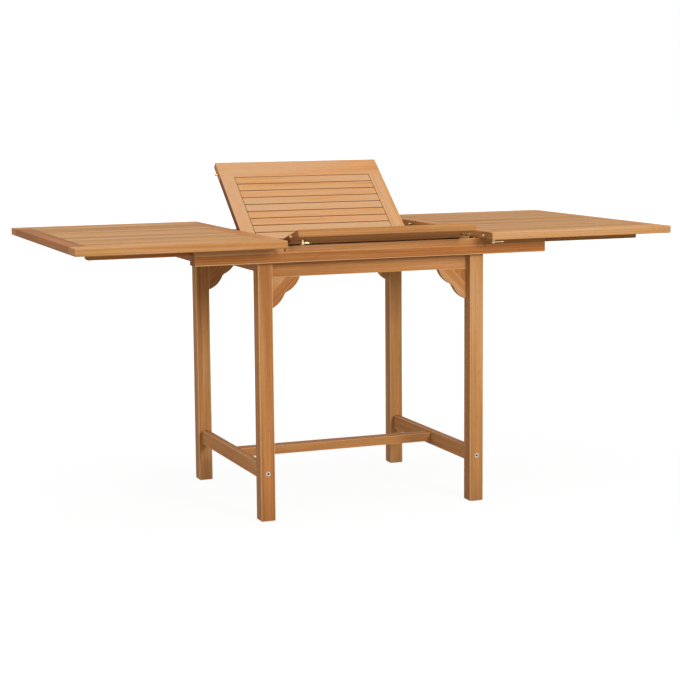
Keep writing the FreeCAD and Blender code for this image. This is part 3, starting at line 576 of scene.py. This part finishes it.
class TeakWork:
    """Makes wooden pieces from the frame's nodes: clean copies with eased edges and grain marks."""

    EASE = 0.0008  # the radius of edges that the solids leave sharp
    EASE_STEPS = 2
    SHARP_ANGLE = math.radians(50)
    PITH_ASIDE = 0.05  # how far beside a board the heart of its tree may lie
    PITH_BELOW = (0.02, 0.09)  # how far under it
    FAR_ALONG = 20.0  # how far a board's grain may be shifted along, either way
    JITTER = 0.12  # how far boards of one shade differ
    END_GRAIN = 0.35  # how dark end grain is, where painted shade on a shaded edge is 1
    SQUARE = 0.985  # a face that no axis meets at this cosine belongs to a rounded corner
    EASED = 1  # the material slot that marks eased edges until they are dressed

    def __init__(self, frame: Mapping[str, Any], teak: Material) -> None:
        """Keep the frame's nodes and bodies, and the finish.

        Args:
            teak: The wood's material.
        """
        self.nodes = frame["nodes"]
        self.teak = teak
        self.body_of = {node: body for body, nodes in frame["record"]["behaviour"]["bodies"].items()
                        for node in nodes}

    def dress(self, node: str, grain: Grain, shade: Shade, second: Optional[Shade] = None,
              flat: Optional[Matrix] = None, shaded_edges: bool = False, rubbed: bool = True,
              keep: Optional[FaceTest] = None, name: Optional[str] = None) -> Object:
        """Make the wooden piece that stands for a node.

        Args:
            node: The node.
            grain: How the grain of its boards runs.
            shade: How pale and red they are.
            second: The shade of every second board, if it is another.
            flat: The turn from lying flat to the node's rest.
            shaded_edges: Whether the edges along the boards are darkened with painted shade.
            rubbed: Whether its corners are lightened with a painted highlight, which also stands for some
                edge wear.
            keep: Which of the node's faces belong to this piece, if not all.
            name: The piece's name, if another piece already stands for the node.

        Returns:
            The piece, riding on the node's body.
        """
        label = name or "teak_" + node
        piece = add_object(label, self.clean_copy(self.nodes[node].data, label, keep))
        bevel = piece.modifiers.new("eased", "BEVEL")
        bevel.width = self.EASE
        bevel.segments = self.EASE_STEPS
        bevel.limit_method = "ANGLE"
        bevel.angle_limit = self.SHARP_ANGLE
        bevel.harden_normals = True
        bevel.material = self.EASED
        settle(piece)
        to_flat = (flat or Matrix()).inverted()
        self.mark(piece.data, label, grain, (shade, second or shade), to_flat)
        self.mark_edges(piece.data, grain, to_flat, shaded_edges, rubbed, keep is None)
        return hand_over(piece, self.body_of[node], Slot.TEAK, () if name else (node,))

    def clean_copy(self, source: Mesh, label: str, keep: Optional[FaceTest]) -> Mesh:
        """Copy a node's triangles as a closed mesh of whole faces.

        Args:
            source: The node's mesh.
            label: The copy's name.
            keep: Which faces to take, if not all.

        Returns:
            The copy, smooth, with two slots of teak: faces and eased edges.
        """
        shape = bmesh.new()
        shape.from_mesh(source)
        if keep:
            shape.normal_update()
            bmesh.ops.delete(shape, geom=[face for face in shape.faces if not keep(face)], context="FACES")
        bmesh.ops.remove_doubles(shape, verts=shape.verts, dist=MERGE)
        bmesh.ops.dissolve_limit(shape, angle_limit=FLAT_ANGLE, verts=shape.verts, edges=shape.edges)
        for face in shape.faces:
            face.smooth = True
        mesh = bpy.data.meshes.new(label)
        shape.to_mesh(mesh)
        shape.free()
        if "custom_normal" in mesh.attributes:
            mesh.attributes.remove(mesh.attributes["custom_normal"])
        mesh.materials.append(self.teak)
        mesh.materials.append(self.teak)
        return mesh

    def mark(self, mesh: Mesh, label: str, grain: Grain, shades: Sequence[Shade],
             to_flat: Matrix) -> None:
        """Store each board's grain coordinates, tone and redness on a mesh.

        Args:
            mesh: The mesh of one or more separate boards.
            label: The piece's name, which seeds the boards' differences.
            grain: How the grain runs.
            shades: How pale and red the boards are, in turn.
            to_flat: The turn back to lying flat.
        """
        axes = grain.axes()
        flat = [to_flat @ vertex.co for vertex in mesh.vertices]
        places = [Vector()] * len(flat)
        tones = [0.0] * len(flat)
        reds = [0.0] * len(flat)
        for index, board in enumerate(islands(mesh)):
            draw = random.Random("%s %d" % (label, index))
            middle = sum((flat[i] for i in board), Vector()) / len(board)
            offset = Vector((draw.uniform(-self.FAR_ALONG, self.FAR_ALONG),
                             draw.uniform(-self.PITH_ASIDE, self.PITH_ASIDE), draw.uniform(*self.PITH_BELOW)))
            pale, redness = shades[index % len(shades)].value
            tone = pale + draw.uniform(-self.JITTER, self.JITTER)
            red = redness + draw.uniform(-self.JITTER, self.JITTER)
            for i in board:
                places[i] = Vector([axis.dot(flat[i] - middle) for axis in axes]) + offset
                tones[i] = tone
                reds[i] = red
        add_attribute(mesh, "grain", [value for place in places for value in place], "FLOAT_VECTOR")
        add_attribute(mesh, "tone", tones)
        add_attribute(mesh, "red", reds)

    def mark_edges(self, mesh: Mesh, grain: Grain, to_flat: Matrix, shaded_edges: bool, rubbed: bool,
                   rounded: bool) -> None:
        """Store which faces are end grain or get painted shade along the boards, and which corners get a
        painted highlight.

        Args:
            mesh: The mesh, whose eased edges have the second slot.
            grain: How the grain runs.
            to_flat: The turn back to lying flat.
            shaded_edges: Whether the edges along the boards are darkened with painted shade.
            rubbed: Whether corners are lightened with a painted highlight, which also stands for some edge
                wear.
            rounded: Whether the faces of rounded corners get that painted highlight too.
        """
        axes = grain.axes()
        turn = to_flat.to_3x3()
        ends_and_shade: list[float] = []
        worn: list[float] = []
        for face in mesh.polygons:
            normal = turn @ face.normal
            along, across, through = (abs(axis.dot(normal)) for axis in axes)
            end = self.END_GRAIN if along > FACING else 0.0
            # painted shade: edges along the boards are darkened in full, as if in shade
            ends_and_shade.append(1.0 if shaded_edges and across > FACING else end)
            # eased and rounded corners are marked for the painted highlight, partly edge wear
            eased = face.material_index == self.EASED
            corner = eased or (rounded and max(along, across, through) < self.SQUARE)
            worn.append(1.0 if rubbed and corner else 0.0)
        add_attribute(mesh, "end", ends_and_shade, domain="FACE")
        add_attribute(mesh, "worn", worn, domain="FACE")
        for face in mesh.polygons:
            face.material_index = 0
        mesh.materials.pop()


def hand_over(piece: Object, body: str, slot: Slot, replaced: Sequence[str] = ()) -> Object:
    """Put a finished piece on its body and hide the nodes that it stands for.

    Args:
        piece: The piece.
        body: Its body.
        slot: Its material slot; not used.
        replaced: The nodes that it stands for, if any.

    Returns:
        The same piece.
    """
    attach(piece, body)
    if replaced:
        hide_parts(*replaced)
    return piece


def add_attribute(mesh: Mesh, label: str, values: Sequence[float], kind: str = "FLOAT",
                  domain: str = "POINT") -> None:
    """Store an attribute's numbers on a mesh, one after the other."""
    layer = mesh.attributes.new(label, kind, domain)
    layer.data.foreach_set("vector" if kind == "FLOAT_VECTOR" else "value", values)


def islands(mesh: Mesh) -> list[list[int]]:
    """Group a mesh's vertices by the separate bodies that they belong to.

    Args:
        mesh: The mesh.

    Returns:
        The vertex numbers of each body, in the order of their lowest number.
    """
    groups = [{i} for i in range(len(mesh.vertices))]
    for edge in mesh.edges:
        first, second = (groups[i] for i in edge.vertices)
        if first is not second:
            first |= second
            for i in second:
                groups[i] = first
    return [sorted(group) for i, group in enumerate(groups) if i == min(group)]


class Draw(IntEnum):
    """What is drawn for each slat; the numbers keep the draws of one seed apart."""

    TONE = 1
    RED = 2
    ALONG = 3
    ASIDE = 4
    BELOW = 5


class SlatTree(GeometryTree):
    """Slats side by side: one rounded bar swept along X, set out in a row, each with grain of its own."""

    EASE_STEPS = 3
    LEVEL = 0.9  # a face that looks up or down by less is a side or end of a slat, which gets painted shade
    LEAST, MOST, DRAWN = 2, 3, 1  # the Random Value node's sockets for a number

    def __init__(self) -> None:
        """Build the group."""
        super().__init__("slat_row", {
            "Int": ("count", "seed"), "Vector": ("first", "step", "turn", "place"), "Material": ("teak",),
            "Float": ("length", "width", "thickness", "ease", "tongue", "tongue_run", "pale", "red", "seam",
                      "swing")})
        rack = self.out("GeometryNodeInstanceOnPoints", {"Points": self.row(), "Instance": self.bar()})
        rack = self.out("GeometryNodeRealizeInstances", {0: rack})
        own_grain = self.vector("ADD", self.named("grain"), self.named("shift"))
        rack = self.store(rack, "grain", own_grain, "FLOAT_VECTOR")
        rack = self.out("GeometryNodeTransform", {
            "Geometry": rack, "Translation": self.given("place"), "Rotation": self.given("turn")})
        self.finish(rack, self.given("teak"))

    def bar(self) -> Field:
        """Make one slat with its tongue, and mark its grain and the painted shade on its sides and ends.

        Returns:
            The slat, along X about the origin.
        """
        length, width, ease = map(self.given, ("length", "width", "ease"))
        slat = self.swept(length, width, self.given("thickness"), ease)
        tongue = self.swept(length + self.given("tongue_run") * 2.0, width - ease * 2.0, self.given("tongue"),
                            ease * 0.5)
        bar = self.together(slat, tongue)
        bar = self.out("GeometryNodeSetShadeSmooth", {"Geometry": bar, "Shade Smooth": False})
        # painted shade: the slat's sides and ends, down in the gaps, are darkened through the end mark; on
        # the ends it also stands for end grain
        seam = self.height_of_normal().math("ABSOLUTE").math("LESS_THAN", self.LEVEL) * self.given("seam")
        bar = self.store(bar, "end", seam, domain="FACE")
        return self.store(bar, "grain", self.out("GeometryNodeInputPosition"), "FLOAT_VECTOR")

    def row(self) -> Field:
        """Set out a point for each slat, with its tone, its redness and the shift of its grain.

        Returns:
            The points.
        """
        count, first, step = map(self.given, ("count", "first", "step"))
        row = self.out("GeometryNodeMeshLine", {"Count": count, "Start Location": first, "Offset": step})
        row = self.store(row, "tone", self.given("pale") + self.drawn(Draw.TONE) * self.given("swing"))
        row = self.store(row, "red", self.given("red") + self.drawn(Draw.RED) * self.given("swing"))
        low, high = TeakWork.PITH_BELOW
        shift = self.join(self.drawn(Draw.ALONG) * TeakWork.FAR_ALONG,
                          self.drawn(Draw.ASIDE) * TeakWork.PITH_ASIDE,
                          (low + high) / 2 + self.drawn(Draw.BELOW) * ((high - low) / 2))
        return self.store(row, "shift", shift, "FLOAT_VECTOR")

    def swept(self, length: Field, width: Field, thickness: Field, ease: Field) -> Field:
        """A bar with rounded edges, along X about the origin.

        Args:
            length: Its length.
            width: Its width.
            thickness: Its thickness.
            ease: The radius of its edges.

        Returns:
            The closed bar.
        """
        path = self.out("GeometryNodeCurvePrimitiveLine", {
            "Start": self.join(length * -0.5, 0.0, 0.0), "End": self.join(length * 0.5, 0.0, 0.0)})
        section = self.out("GeometryNodeCurvePrimitiveQuadrilateral", {"Width": width, "Height": thickness})
        rounding = {"Curve": section, "Count": self.EASE_STEPS, "Radius": ease}
        section = self.out("GeometryNodeFilletCurve", rounding, mode="POLY")
        sweep = {"Curve": path, "Profile Curve": section, "Fill Caps": True}
        return self.out("GeometryNodeCurveToMesh", sweep)

    def drawn(self, what: Draw) -> Field:
        """A number from -1 to 1 for each slat, different for each thing that is drawn."""
        sockets = {self.LEAST: -1.0, self.MOST: 1.0, "Seed": self.given("seed") + float(what)}
        return self.out("FunctionNodeRandomValue", sockets, self.DRAWN, data_type="FLOAT")


class HeadTree(GeometryTree):
    """Driven heads of bolts and screws: a ring with a star-shaped recess on a solid base and a shank."""

    RIM_SIDES = 40
    BASE_SHARE = 0.985  # the base is a little narrower, so that it shares no edge with the ring

    def __init__(self) -> None:
        """Build the group."""
        super().__init__("driven_heads", {
            "Int": ("points",), "Material": ("metal",),
            "Float": ("radius", "height", "recess_outer", "recess_inner", "recess_depth", "shank_radius",
                      "shank_length")})
        turn = self.out("FunctionNodeAlignRotationToVector", {"Vector": self.named("facing")}, axis="Z")
        heads = self.out("GeometryNodeInstanceOnPoints", {
            "Points": self.given("Geometry"), "Instance": self.head(), "Rotation": turn})
        self.finish(heads, self.given("metal"))

    def head(self) -> Field:
        """Make one head and its shank.

        Returns:
            Both, down from the origin, where the middle of the head's face is.
        """
        height, depth, shank_length = map(self.given, ("height", "recess_depth", "shank_length"))
        base_height = height - depth
        base = self.cylinder(self.given("radius") * self.BASE_SHARE, base_height)
        # painted shade: the floor of the recess is marked to be painted near black
        shaded_recess_floor = self.height_of_normal().math("GREATER_THAN", FACING)
        base = self.store(base, "recess", shaded_recess_floor, domain="FACE")
        shank = self.cylinder(self.given("shank_radius"), shank_length)
        return self.together(self.lowered(self.ring(depth), depth),
                             self.lowered(base, depth + base_height * 0.5),
                             self.lowered(shank, height + shank_length * 0.5))

    def ring(self, depth: Field) -> Field:
        """Make the part of a head that the recess goes through.

        Args:
            depth: The recess's depth.

        Returns:
            The closed ring, up from the origin.
        """
        rim = self.out("GeometryNodeCurvePrimitiveCircle", {
            "Resolution": self.RIM_SIDES, "Radius": self.given("radius")})
        recess = self.out("GeometryNodeCurveStar", {
            "Points": self.given("points"), "Inner Radius": self.given("recess_inner"),
            "Outer Radius": self.given("recess_outer")})
        face = self.out("GeometryNodeFillCurve", {"Curve": self.together(rim, recess)})
        raised = self.out("GeometryNodeExtrudeMesh", {
            "Mesh": face, "Offset": self.join(0.0, 0.0, 1.0), "Offset Scale": depth, "Individual": False})
        under = self.out("GeometryNodeFlipFaces", {"Mesh": face})
        ring = self.together(raised, under)
        return self.out("GeometryNodeMergeByDistance", {"Geometry": ring, "Distance": MERGE})

    def lowered(self, part: Field, drop: Field) -> Field:
        """A geometry shifted down."""
        shift = self.join(0.0, 0.0, -drop)
        return self.out("GeometryNodeTransform", {"Geometry": part, "Translation": shift})

    def cylinder(self, radius: Field, height: Field) -> Field:
        """A round bar about the middle of the Z axis."""
        sizes = {"Vertices": self.RIM_SIDES, "Radius": radius, "Depth": height}
        return self.out("GeometryNodeMeshCylinder", sizes)


@dataclass
class Workshop:
    """What every sub-assembly is made with."""

    wood: TeakWork
    brass: Material
    aged_brass: Material
    steel: Material
    slats: SlatTree
    heads: HeadTree

    def plate(self, node: str, metal: Material) -> Object:
        """Give a metal node its finish.

        Args:
            node: The node.
            metal: The finish.

        Returns:
            The node's object.
        """
        piece = self.wood.nodes[node]
        for slot in piece.material_slots:
            slot.material = metal
        return piece


@dataclass(frozen=True)
class DrivenHead:
    """Sizes of one kind of bolt or screw head."""

    radius: float
    height: float
    points: int
    recess_outer: float
    recess_inner: float
    recess_depth: float
    shank_radius: float
    shank_length: float

    def drive(self, tree: HeadTree, name: str, body: str, spots: Sequence[Spot], metal: Material,
              slot: Slot, replaced: Sequence[str] = ()) -> Object:
        """Set heads of this kind.

        Args:
            tree: The group that makes heads.
            name: The piece's name.
            body: The body that they ride on.
            spots: The middle of each head's face and the way that it faces.
            metal: What they are made of.
            slot: The record's slot of that metal.
            replaced: The nodes that they stand for, if any.

        Returns:
            All the heads as one piece.
        """
        seeds = bpy.data.meshes.new(name + "_places")
        seeds.from_pydata([tuple(place) for place, _ in spots], [], [])
        add_attribute(seeds, "facing", [value for _, facing in spots for value in facing], "FLOAT_VECTOR")
        piece = tree.grow(name, seeds, {**asdict(self), "metal": metal})
        return hand_over(piece, body, slot, replaced)


SOCKET_BOLT = DrivenHead(radius=0.006, height=0.006, points=3, recess_outer=0.0034, recess_inner=0.0034,
                         recess_depth=0.004, shank_radius=0.003, shank_length=0.062)
BARREL_NUT = DrivenHead(radius=0.005, height=0.014, points=4, recess_outer=0.0036, recess_inner=0.0008,
                        recess_depth=0.0015, shank_radius=0.0049, shank_length=0.013)
PLATE_SCREW = DrivenHead(radius=0.0026, height=0.0012, points=4, recess_outer=0.0017, recess_inner=0.0005,
                         recess_depth=0.0007, shank_radius=0.0012, shank_length=0.010)


@dataclass
class StandingFrame:
    """Legs, aprons, brackets, stretchers and guide rails, and their bolts."""

    shop: Workshop
    bracket_block: float = 0.044
    bolt_proud: float = 0.001
    nut_inset: float = 0.029
    near: float = 1e-5  # a face nearer to the cut of a bracket's block than this lies on it

    def build(self) -> Iterator[Object]:
        """Make every piece of the frame.

        Returns:
            The pieces, one by one.
        """
        dress = self.shop.wood.dress
        leg_shades = {(End.FRONT, Side.LEFT): Shade.TAN, (End.FRONT, Side.RIGHT): Shade.GOLDEN,
                      (End.REAR, Side.LEFT): Shade.GOLDEN, (End.REAR, Side.RIGHT): Shade.HONEY}
        for (end, side), shade in leg_shades.items():
            yield dress("leg_%s_%s" % (end, side), Grain.Z, shade)
            yield from self.bracket(end, side)
        for end in End:
            yield dress("apron_" + end, Grain.X, Shade.GOLDEN)
            yield dress("guide_beam_" + end, Grain.X, Shade.RUSSET)
            yield dress("guide_strip_" + end, Grain.X, Shade.GOLDEN)
        for side in Side:
            yield dress("apron_" + side, Grain.Y, Shade.TAN)
            yield dress("side_stretcher_" + side, Grain.Y, Shade.TAN)
            yield dress("end_cross_rail_" + side, Grain.Y, Shade.TAN)
            yield dress("leaf_pivot_rail_" + side, Grain.Y, Shade.RUSSET)
        yield dress("centre_stretcher", Grain.X, Shade.TAN)
        yield self.shop.plate("leaf_pivot_bolts", self.shop.steel)
        yield from self.bolts()

    def bracket(self, end: End, side: Side) -> Iterator[Object]:
        """Make a corner bracket.

        Args:
            end: The end of the table that it is at.
            side: The side of that end.

        Returns:
            Its lobed board and its corner block.
        """
        node = "bracket_%s_%s" % (end, side)
        left = side is Side.LEFT
        low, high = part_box(node)
        root = Vector((low.x if left else high.x, 0.0, high.z))
        outward = Vector((1.0 if left else -1.0, 0.0, -1.0)).normalized()
        cut = self.bracket_block * math.sqrt(0.5)

        def in_block(face: bmesh.types.BMFace) -> bool:
            """Whether a face is the block's: nearer the corner than the cut, or the block's side of it."""
            beyond = (face.calc_center_median() - root).dot(outward) - cut
            return beyond < -self.near or (beyond < self.near and face.normal.dot(outward) > FACING)

        dress = self.shop.wood.dress
        yield dress(node, Grain.RISING if left else Grain.FALLING, Shade.RUSSET if left else Shade.GOLDEN,
                    keep=lambda face: not in_block(face))
        yield dress(node, Grain.X if left else Grain.Z, Shade.GOLDEN if left else Shade.TAN, keep=in_block,
                    name="teak_%s_block" % node)

    def bolts(self) -> Iterator[Object]:
        """Set the bolts that hold the side stretchers.

        Returns:
            The socket bolts in the legs, and the barrel nuts in the stretchers.
        """
        bolts: list[Spot] = []
        nuts: list[Spot] = []
        for side in Side:
            low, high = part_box("side_stretcher_" + side)
            x, _, z = (low + high) / 2
            for end in End:
                leg_low, leg_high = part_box("leg_%s_%s" % (end, side))
                front = end is End.FRONT
                face, seat, sign = (leg_low.y, low.y, -1.0) if front else (leg_high.y, high.y, 1.0)
                bolts.append((Vector((x, face + sign * self.bolt_proud, z)), Vector((0, sign, 0))))
                nuts.append((Vector((x, seat - sign * self.nut_inset, low.z)), Vector((0, 0, -1))))
        heads, steel = self.shop.heads, self.shop.steel
        yield SOCKET_BOLT.drive(heads, "socket_bolts", "base", bolts, steel, Slot.STEEL, ["stretcher_bolts"])
        yield BARREL_NUT.drive(heads, "barrel_nuts", "base", nuts, steel, Slot.STEEL)


@dataclass
class SlattedFrame:
    """Sizes and finishes that the tops and the leaf halves share, made flat and turned to rest."""

    shop: Workshop
    turn: Matrix = Matrix()
    seed: int = 11
    slats: int = 23
    shade: Shade = Shade.STRAW
    board: float = 0.020
    rail: float = 0.065
    stile: float = 0.041
    gap: float = 0.0025
    end_gap: float = 0.0015
    tongue: float = 0.008
    tongue_run: float = 0.008
    slat_ease: float = 0.0016
    # how much painted shade darkens the slats' sides and ends in the gaps
    slat_seam: float = 0.95
    slat_swing: float = 0.6
    striker_plate: float = 0.002
    screw_spread: float = 0.0038
    screw_proud: float = 0.0004

    def lay_slats(self, node: str, xs: Pair, ys: Pair, face: float) -> Object:
        """Grow the slats.

        Args:
            node: Their node.
            xs: The inner edges of the stiles, while the frame lies flat.
            ys: The inner edges of the rails.
            face: The height of the upper face.

        Returns:
            The slats as one piece.
        """
        width = (ys[1] - ys[0] - (self.slats + 1) * self.gap) / self.slats
        first = (sum(xs) / 2, ys[0] + self.gap + width / 2, face - self.board / 2)
        pale, red = self.shade.value
        piece = self.shop.slats.grow("teak_" + node, bpy.data.meshes.new(node), {
            "count": self.slats, "first": first, "step": (0.0, width + self.gap, 0.0), "seed": self.seed,
            "length": xs[1] - xs[0] - 2 * self.end_gap, "width": width, "thickness": self.board,
            "ease": self.slat_ease, "tongue": self.tongue, "tongue_run": self.tongue_run,
            "pale": pale, "red": red, "seam": self.slat_seam, "swing": self.slat_swing,
            "turn": tuple(self.turn.to_euler()), "place": tuple(self.turn.translation),
            "teak": self.shop.wood.teak})
        return hand_over(piece, self.shop.wood.body_of[node], Slot.TEAK, (node,))

    def striker_screws(self, name: str, body: str, plates: Sequence[Vector]) -> Object:
        """Set two screws in each striker plate, facing down.

        Args:
            name: The piece's name.
            body: The body that they ride on.
            plates: The middle of each plate against the board, while the frame lies flat.

        Returns:
            The screws as one piece.
        """
        drop = -self.striker_plate - self.screw_proud
        down = self.turn.to_3x3() @ Vector((0, 0, -1))
        spots = [(self.turn @ (plate + Vector((0, aside, drop))), down)
                 for plate in plates for aside in (-self.screw_spread, self.screw_spread)]
        return PLATE_SCREW.drive(self.shop.heads, name, body, spots, self.shop.brass, Slot.BRASS)


@dataclass
class SlidingTop(SlattedFrame):
    """One of the two tops that slide on the guide rails."""

    side: Side = Side.LEFT
    outer_shade: Shade = Shade.GOLDEN
    striker_half: float = 0.007
    screw_inset: float = 0.018

    def build(self) -> Iterator[Object]:
        """Make the top's boards, slats, runners and fittings.

        Returns:
            The pieces, one by one.
        """
        name = self.side + "_panel"
        shop = self.shop
        low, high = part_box(name + "_rails")
        yield shop.wood.dress(name + "_rails", Grain.X, Shade.HONEY, rubbed=False)
        yield shop.wood.dress(name + "_stiles", Grain.Y, self.outer_shade, second=Shade.GOLDEN, rubbed=False)
        for end in End:
            yield shop.wood.dress("%s_runner_%s" % (self.side, end), Grain.X, Shade.RUSSET)
        yield self.lay_slats(name + "_slats", (low.x + self.stile, high.x - self.stile),
                             (low.y + self.rail, high.y - self.rail), high.z)
        fittings = {Side.LEFT: ("bushes", "screws"),
                    Side.RIGHT: ("pins", "hook_front", "hook_rear", "screws")}
        for fitting in fittings[self.side]:
            yield shop.plate("%s_%s" % (name, fitting), shop.brass)
        if self.side is Side.LEFT:
            # the strikers take the darker brass as painted shade
            yield shop.plate(name + "_strikers", shop.aged_brass)
            first, last = (corner.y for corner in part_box(name + "_strikers"))
            plates = [Vector((high.x - self.screw_inset, y, low.z))
                      for y in (first + self.striker_half, last - self.striker_half)]
            yield self.striker_screws("left_striker_screws", name, plates)


@dataclass
class LeafHalf(SlattedFrame):
    """One half of the butterfly leaf."""

    end: End = End.REAR
    slats: int = 10
    shade: Shade = Shade.PALE
    rail_shade: Shade = Shade.PALE
    spine_gap: float = 0.0006
    spine_rail: float = 0.042
    slat_ease: float = 0.0010
    slat_seam: float = 0.55
    slat_swing: float = 0.18
    fitting_inset: float = 0.042
    screw_inset: float = 0.0175

    def build(self) -> Iterator[Object]:
        """Make the half's boards, slats, arms and fittings.

        Returns:
            The pieces, one by one.
        """
        name = "leaf_" + self.end
        shop = self.shop
        rear = self.end is End.REAR
        yield shop.wood.dress(name + "_rails", Grain.X, self.rail_shade, flat=self.turn, rubbed=False)
        yield shop.wood.dress(name + "_stiles", Grain.Y, self.shade, flat=self.turn, shaded_edges=True,
                              rubbed=False)
        if rear:
            for side in Side:
                yield shop.wood.dress("leaf_rear_arm_" + side, Grain.Y, Shade.RUSSET, flat=self.turn)
        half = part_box(name + "_rails")[1].x
        low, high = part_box("left_panel_rails")
        inner = self.spine_gap / 2 + self.spine_rail
        outer = high.y - self.rail
        yield self.lay_slats(name + "_slats", (self.stile - half, half - self.stile),
                             (inner, outer) if rear else (-outer, -inner), high.z)
        # the striker takes the darker brass as painted shade
        yield shop.plate(name + "_striker", shop.aged_brass)
        for fitting in ("dowels", "hinge_leaves", "screws", "hook"):
            yield shop.plate("%s_%s" % (name, fitting), shop.brass)
        fitting_y = high.y - self.fitting_inset
        plate = Vector((half - self.screw_inset, fitting_y if rear else -fitting_y, low.z))
        yield self.striker_screws(name + "_striker_screws", name, [plate])


def turned(degrees: float, axis: str) -> Matrix:
    """A turn about an axis through the origin."""
    return Matrix.Rotation(math.radians(degrees), 4, axis)


def about(point: Vector, degrees: float) -> Matrix:
    """A turn about the X axis through a point."""
    return Matrix.Translation(point) @ turned(degrees, "X") @ Matrix.Translation(-point)


def leaf_turns(frame: Mapping[str, Any]) -> dict[End, Matrix]:
    """How each half of the leaf is turned from lying flat to its rest.


    Returns:
        The turn of each half.
    """
    joints = {joint["name"]: joint for joint in frame["joints"]}
    follow = frame["record"]["behaviour"]["couplings"][0]["ratio"]
    open_by = -joints["leaf_pivot"]["range_deg"][0]
    rear = about(Vector(joints["leaf_pivot"]["pos_m"]), open_by)
    spine = Vector(joints["leaf_fold"]["pos_m"])
    return {End.REAR: rear, End.FRONT: about(spine, -open_by * follow) @ rear}


@dataclass(frozen=True)
class Lamp:
    """A soft square lamp."""

    name: str
    place: Triple
    aim: Triple
    size: float
    watts: float

    def hang(self) -> Object:
        """Put the lamp into the scene.

        Returns:
            The lamp, turned to its aim.
        """
        data = bpy.data.lights.new(self.name, "AREA")
        data.size = self.size
        data.energy = self.watts
        piece = add_object(self.name, data)
        piece.location = self.place
        piece.rotation_euler = (Vector(self.aim) - Vector(self.place)).to_track_quat("-Z", "Y").to_euler()
        return piece


@dataclass
class Studio:
    """The floor, the lamps, the pale surround and the camera."""

    photo_side: float = 680.0
    focal_pixels: float = 1756.54
    sensor: float = 36.0
    eye: Triple = (-1.774535, -4.596299, 1.105475)
    azimuth: float = -21.3227
    elevation: float = 7.8155
    roll: float = -0.4878
    floor_half: float = 60.0
    fill: float = 0.67
    white: Triple = (1.0, 1.0, 1.0)
    lamps: tuple[Lamp, ...] = (
        Lamp("key", place=(1.3, -4.8, 2.1), aim=(0.0, 0.0, 0.6), size=1.4, watts=150.0),
        Lamp("top", place=(-0.9, -0.6, 4.2), aim=(0.0, 0.0, 0.7), size=3.2, watts=48.0),
        Lamp("side", place=(-4.2, -0.8, 1.1), aim=(0.0, 0.0, 0.5), size=2.0, watts=26.0),
    )

    def build(self) -> Iterator[Object]:
        """Set up everything that isn't part of the table.

        Returns:
            The floor, the lamps and the camera.
        """
        bpy.context.scene.view_settings.view_transform = "Standard"
        yield self.lay_floor()
        for lamp in self.lamps:
            yield lamp.hang()
        self.surround()
        yield self.look()

    def lay_floor(self) -> Object:
        """Lay the floor that the table stands on.

        Returns:
            The floor.
        """
        reach = self.floor_half
        mesh = bpy.data.meshes.new("floor")
        mesh.from_pydata([(-reach, -reach, 0), (reach, -reach, 0), (reach, reach, 0), (-reach, reach, 0)], [],
                         [(0, 1, 2, 3)])
        mesh.materials.append(FloorFinish().make())
        floor = add_object("floor", mesh)
        return floor

    def surround(self) -> None:
        """Make the world: soft fill light, and plain white for what looks at it."""
        world = bpy.data.worlds.new("studio")
        bpy.context.scene.world = world
        world.use_nodes = True
        tree = NodeTree(world.node_tree)
        white = {"Color": opaque(self.white)}
        fill = tree.out("ShaderNodeBackground", {**white, "Strength": self.fill})
        plain = tree.out("ShaderNodeBackground", {**white, "Strength": 1.0})
        shown = tree.out("ShaderNodeMixShader", {0: looked_at(tree), 1: fill, 2: plain})
        tree.node("ShaderNodeOutputWorld", {"Surface": shown})

    def look(self) -> Object:
        """Place the camera at the photograph's angle.

        Returns:
            The camera.
        """
        data = bpy.data.cameras.new("photo_camera")
        data.sensor_width = self.sensor
        data.lens = self.focal_pixels / self.photo_side * self.sensor
        camera = add_object("photo_camera", data)
        view = turned(self.azimuth, "Z") @ turned(90.0 - self.elevation, "X") @ turned(self.roll, "Z")
        camera.matrix_world = Matrix.Translation(self.eye) @ view
        bpy.context.scene.camera = camera
        return camera


def main() -> None:
    """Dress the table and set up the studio."""
    logging.basicConfig(level=logging.INFO, format="%(name)s %(message)s")
    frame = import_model()
    wood = TeakWork(frame, TeakFinish().make())
    shop = Workshop(wood, BRASS.make(), SHADOWED_BRASS.make(), STEEL.make(), SlatTree(), HeadTree())
    turns = leaf_turns(frame)
    assemblies = (
        StandingFrame(shop),
        SlidingTop(shop, side=Side.LEFT, seed=11, shade=Shade.STRAW, outer_shade=Shade.UMBER),
        SlidingTop(shop, side=Side.RIGHT, seed=23, shade=Shade.OLIVE),
        LeafHalf(shop, end=End.REAR, turn=turns[End.REAR], seed=37),
        LeafHalf(shop, end=End.FRONT, turn=turns[End.FRONT], seed=53, shade=Shade.GOLDEN,
                 rail_shade=Shade.DUSKY),
        Studio(),
    )
    for assembly in assemblies:
        for piece in assembly.build():
            LOG.info("%s: %s", type(assembly).__name__, piece.name)


if __name__ == "__main__":
    main()
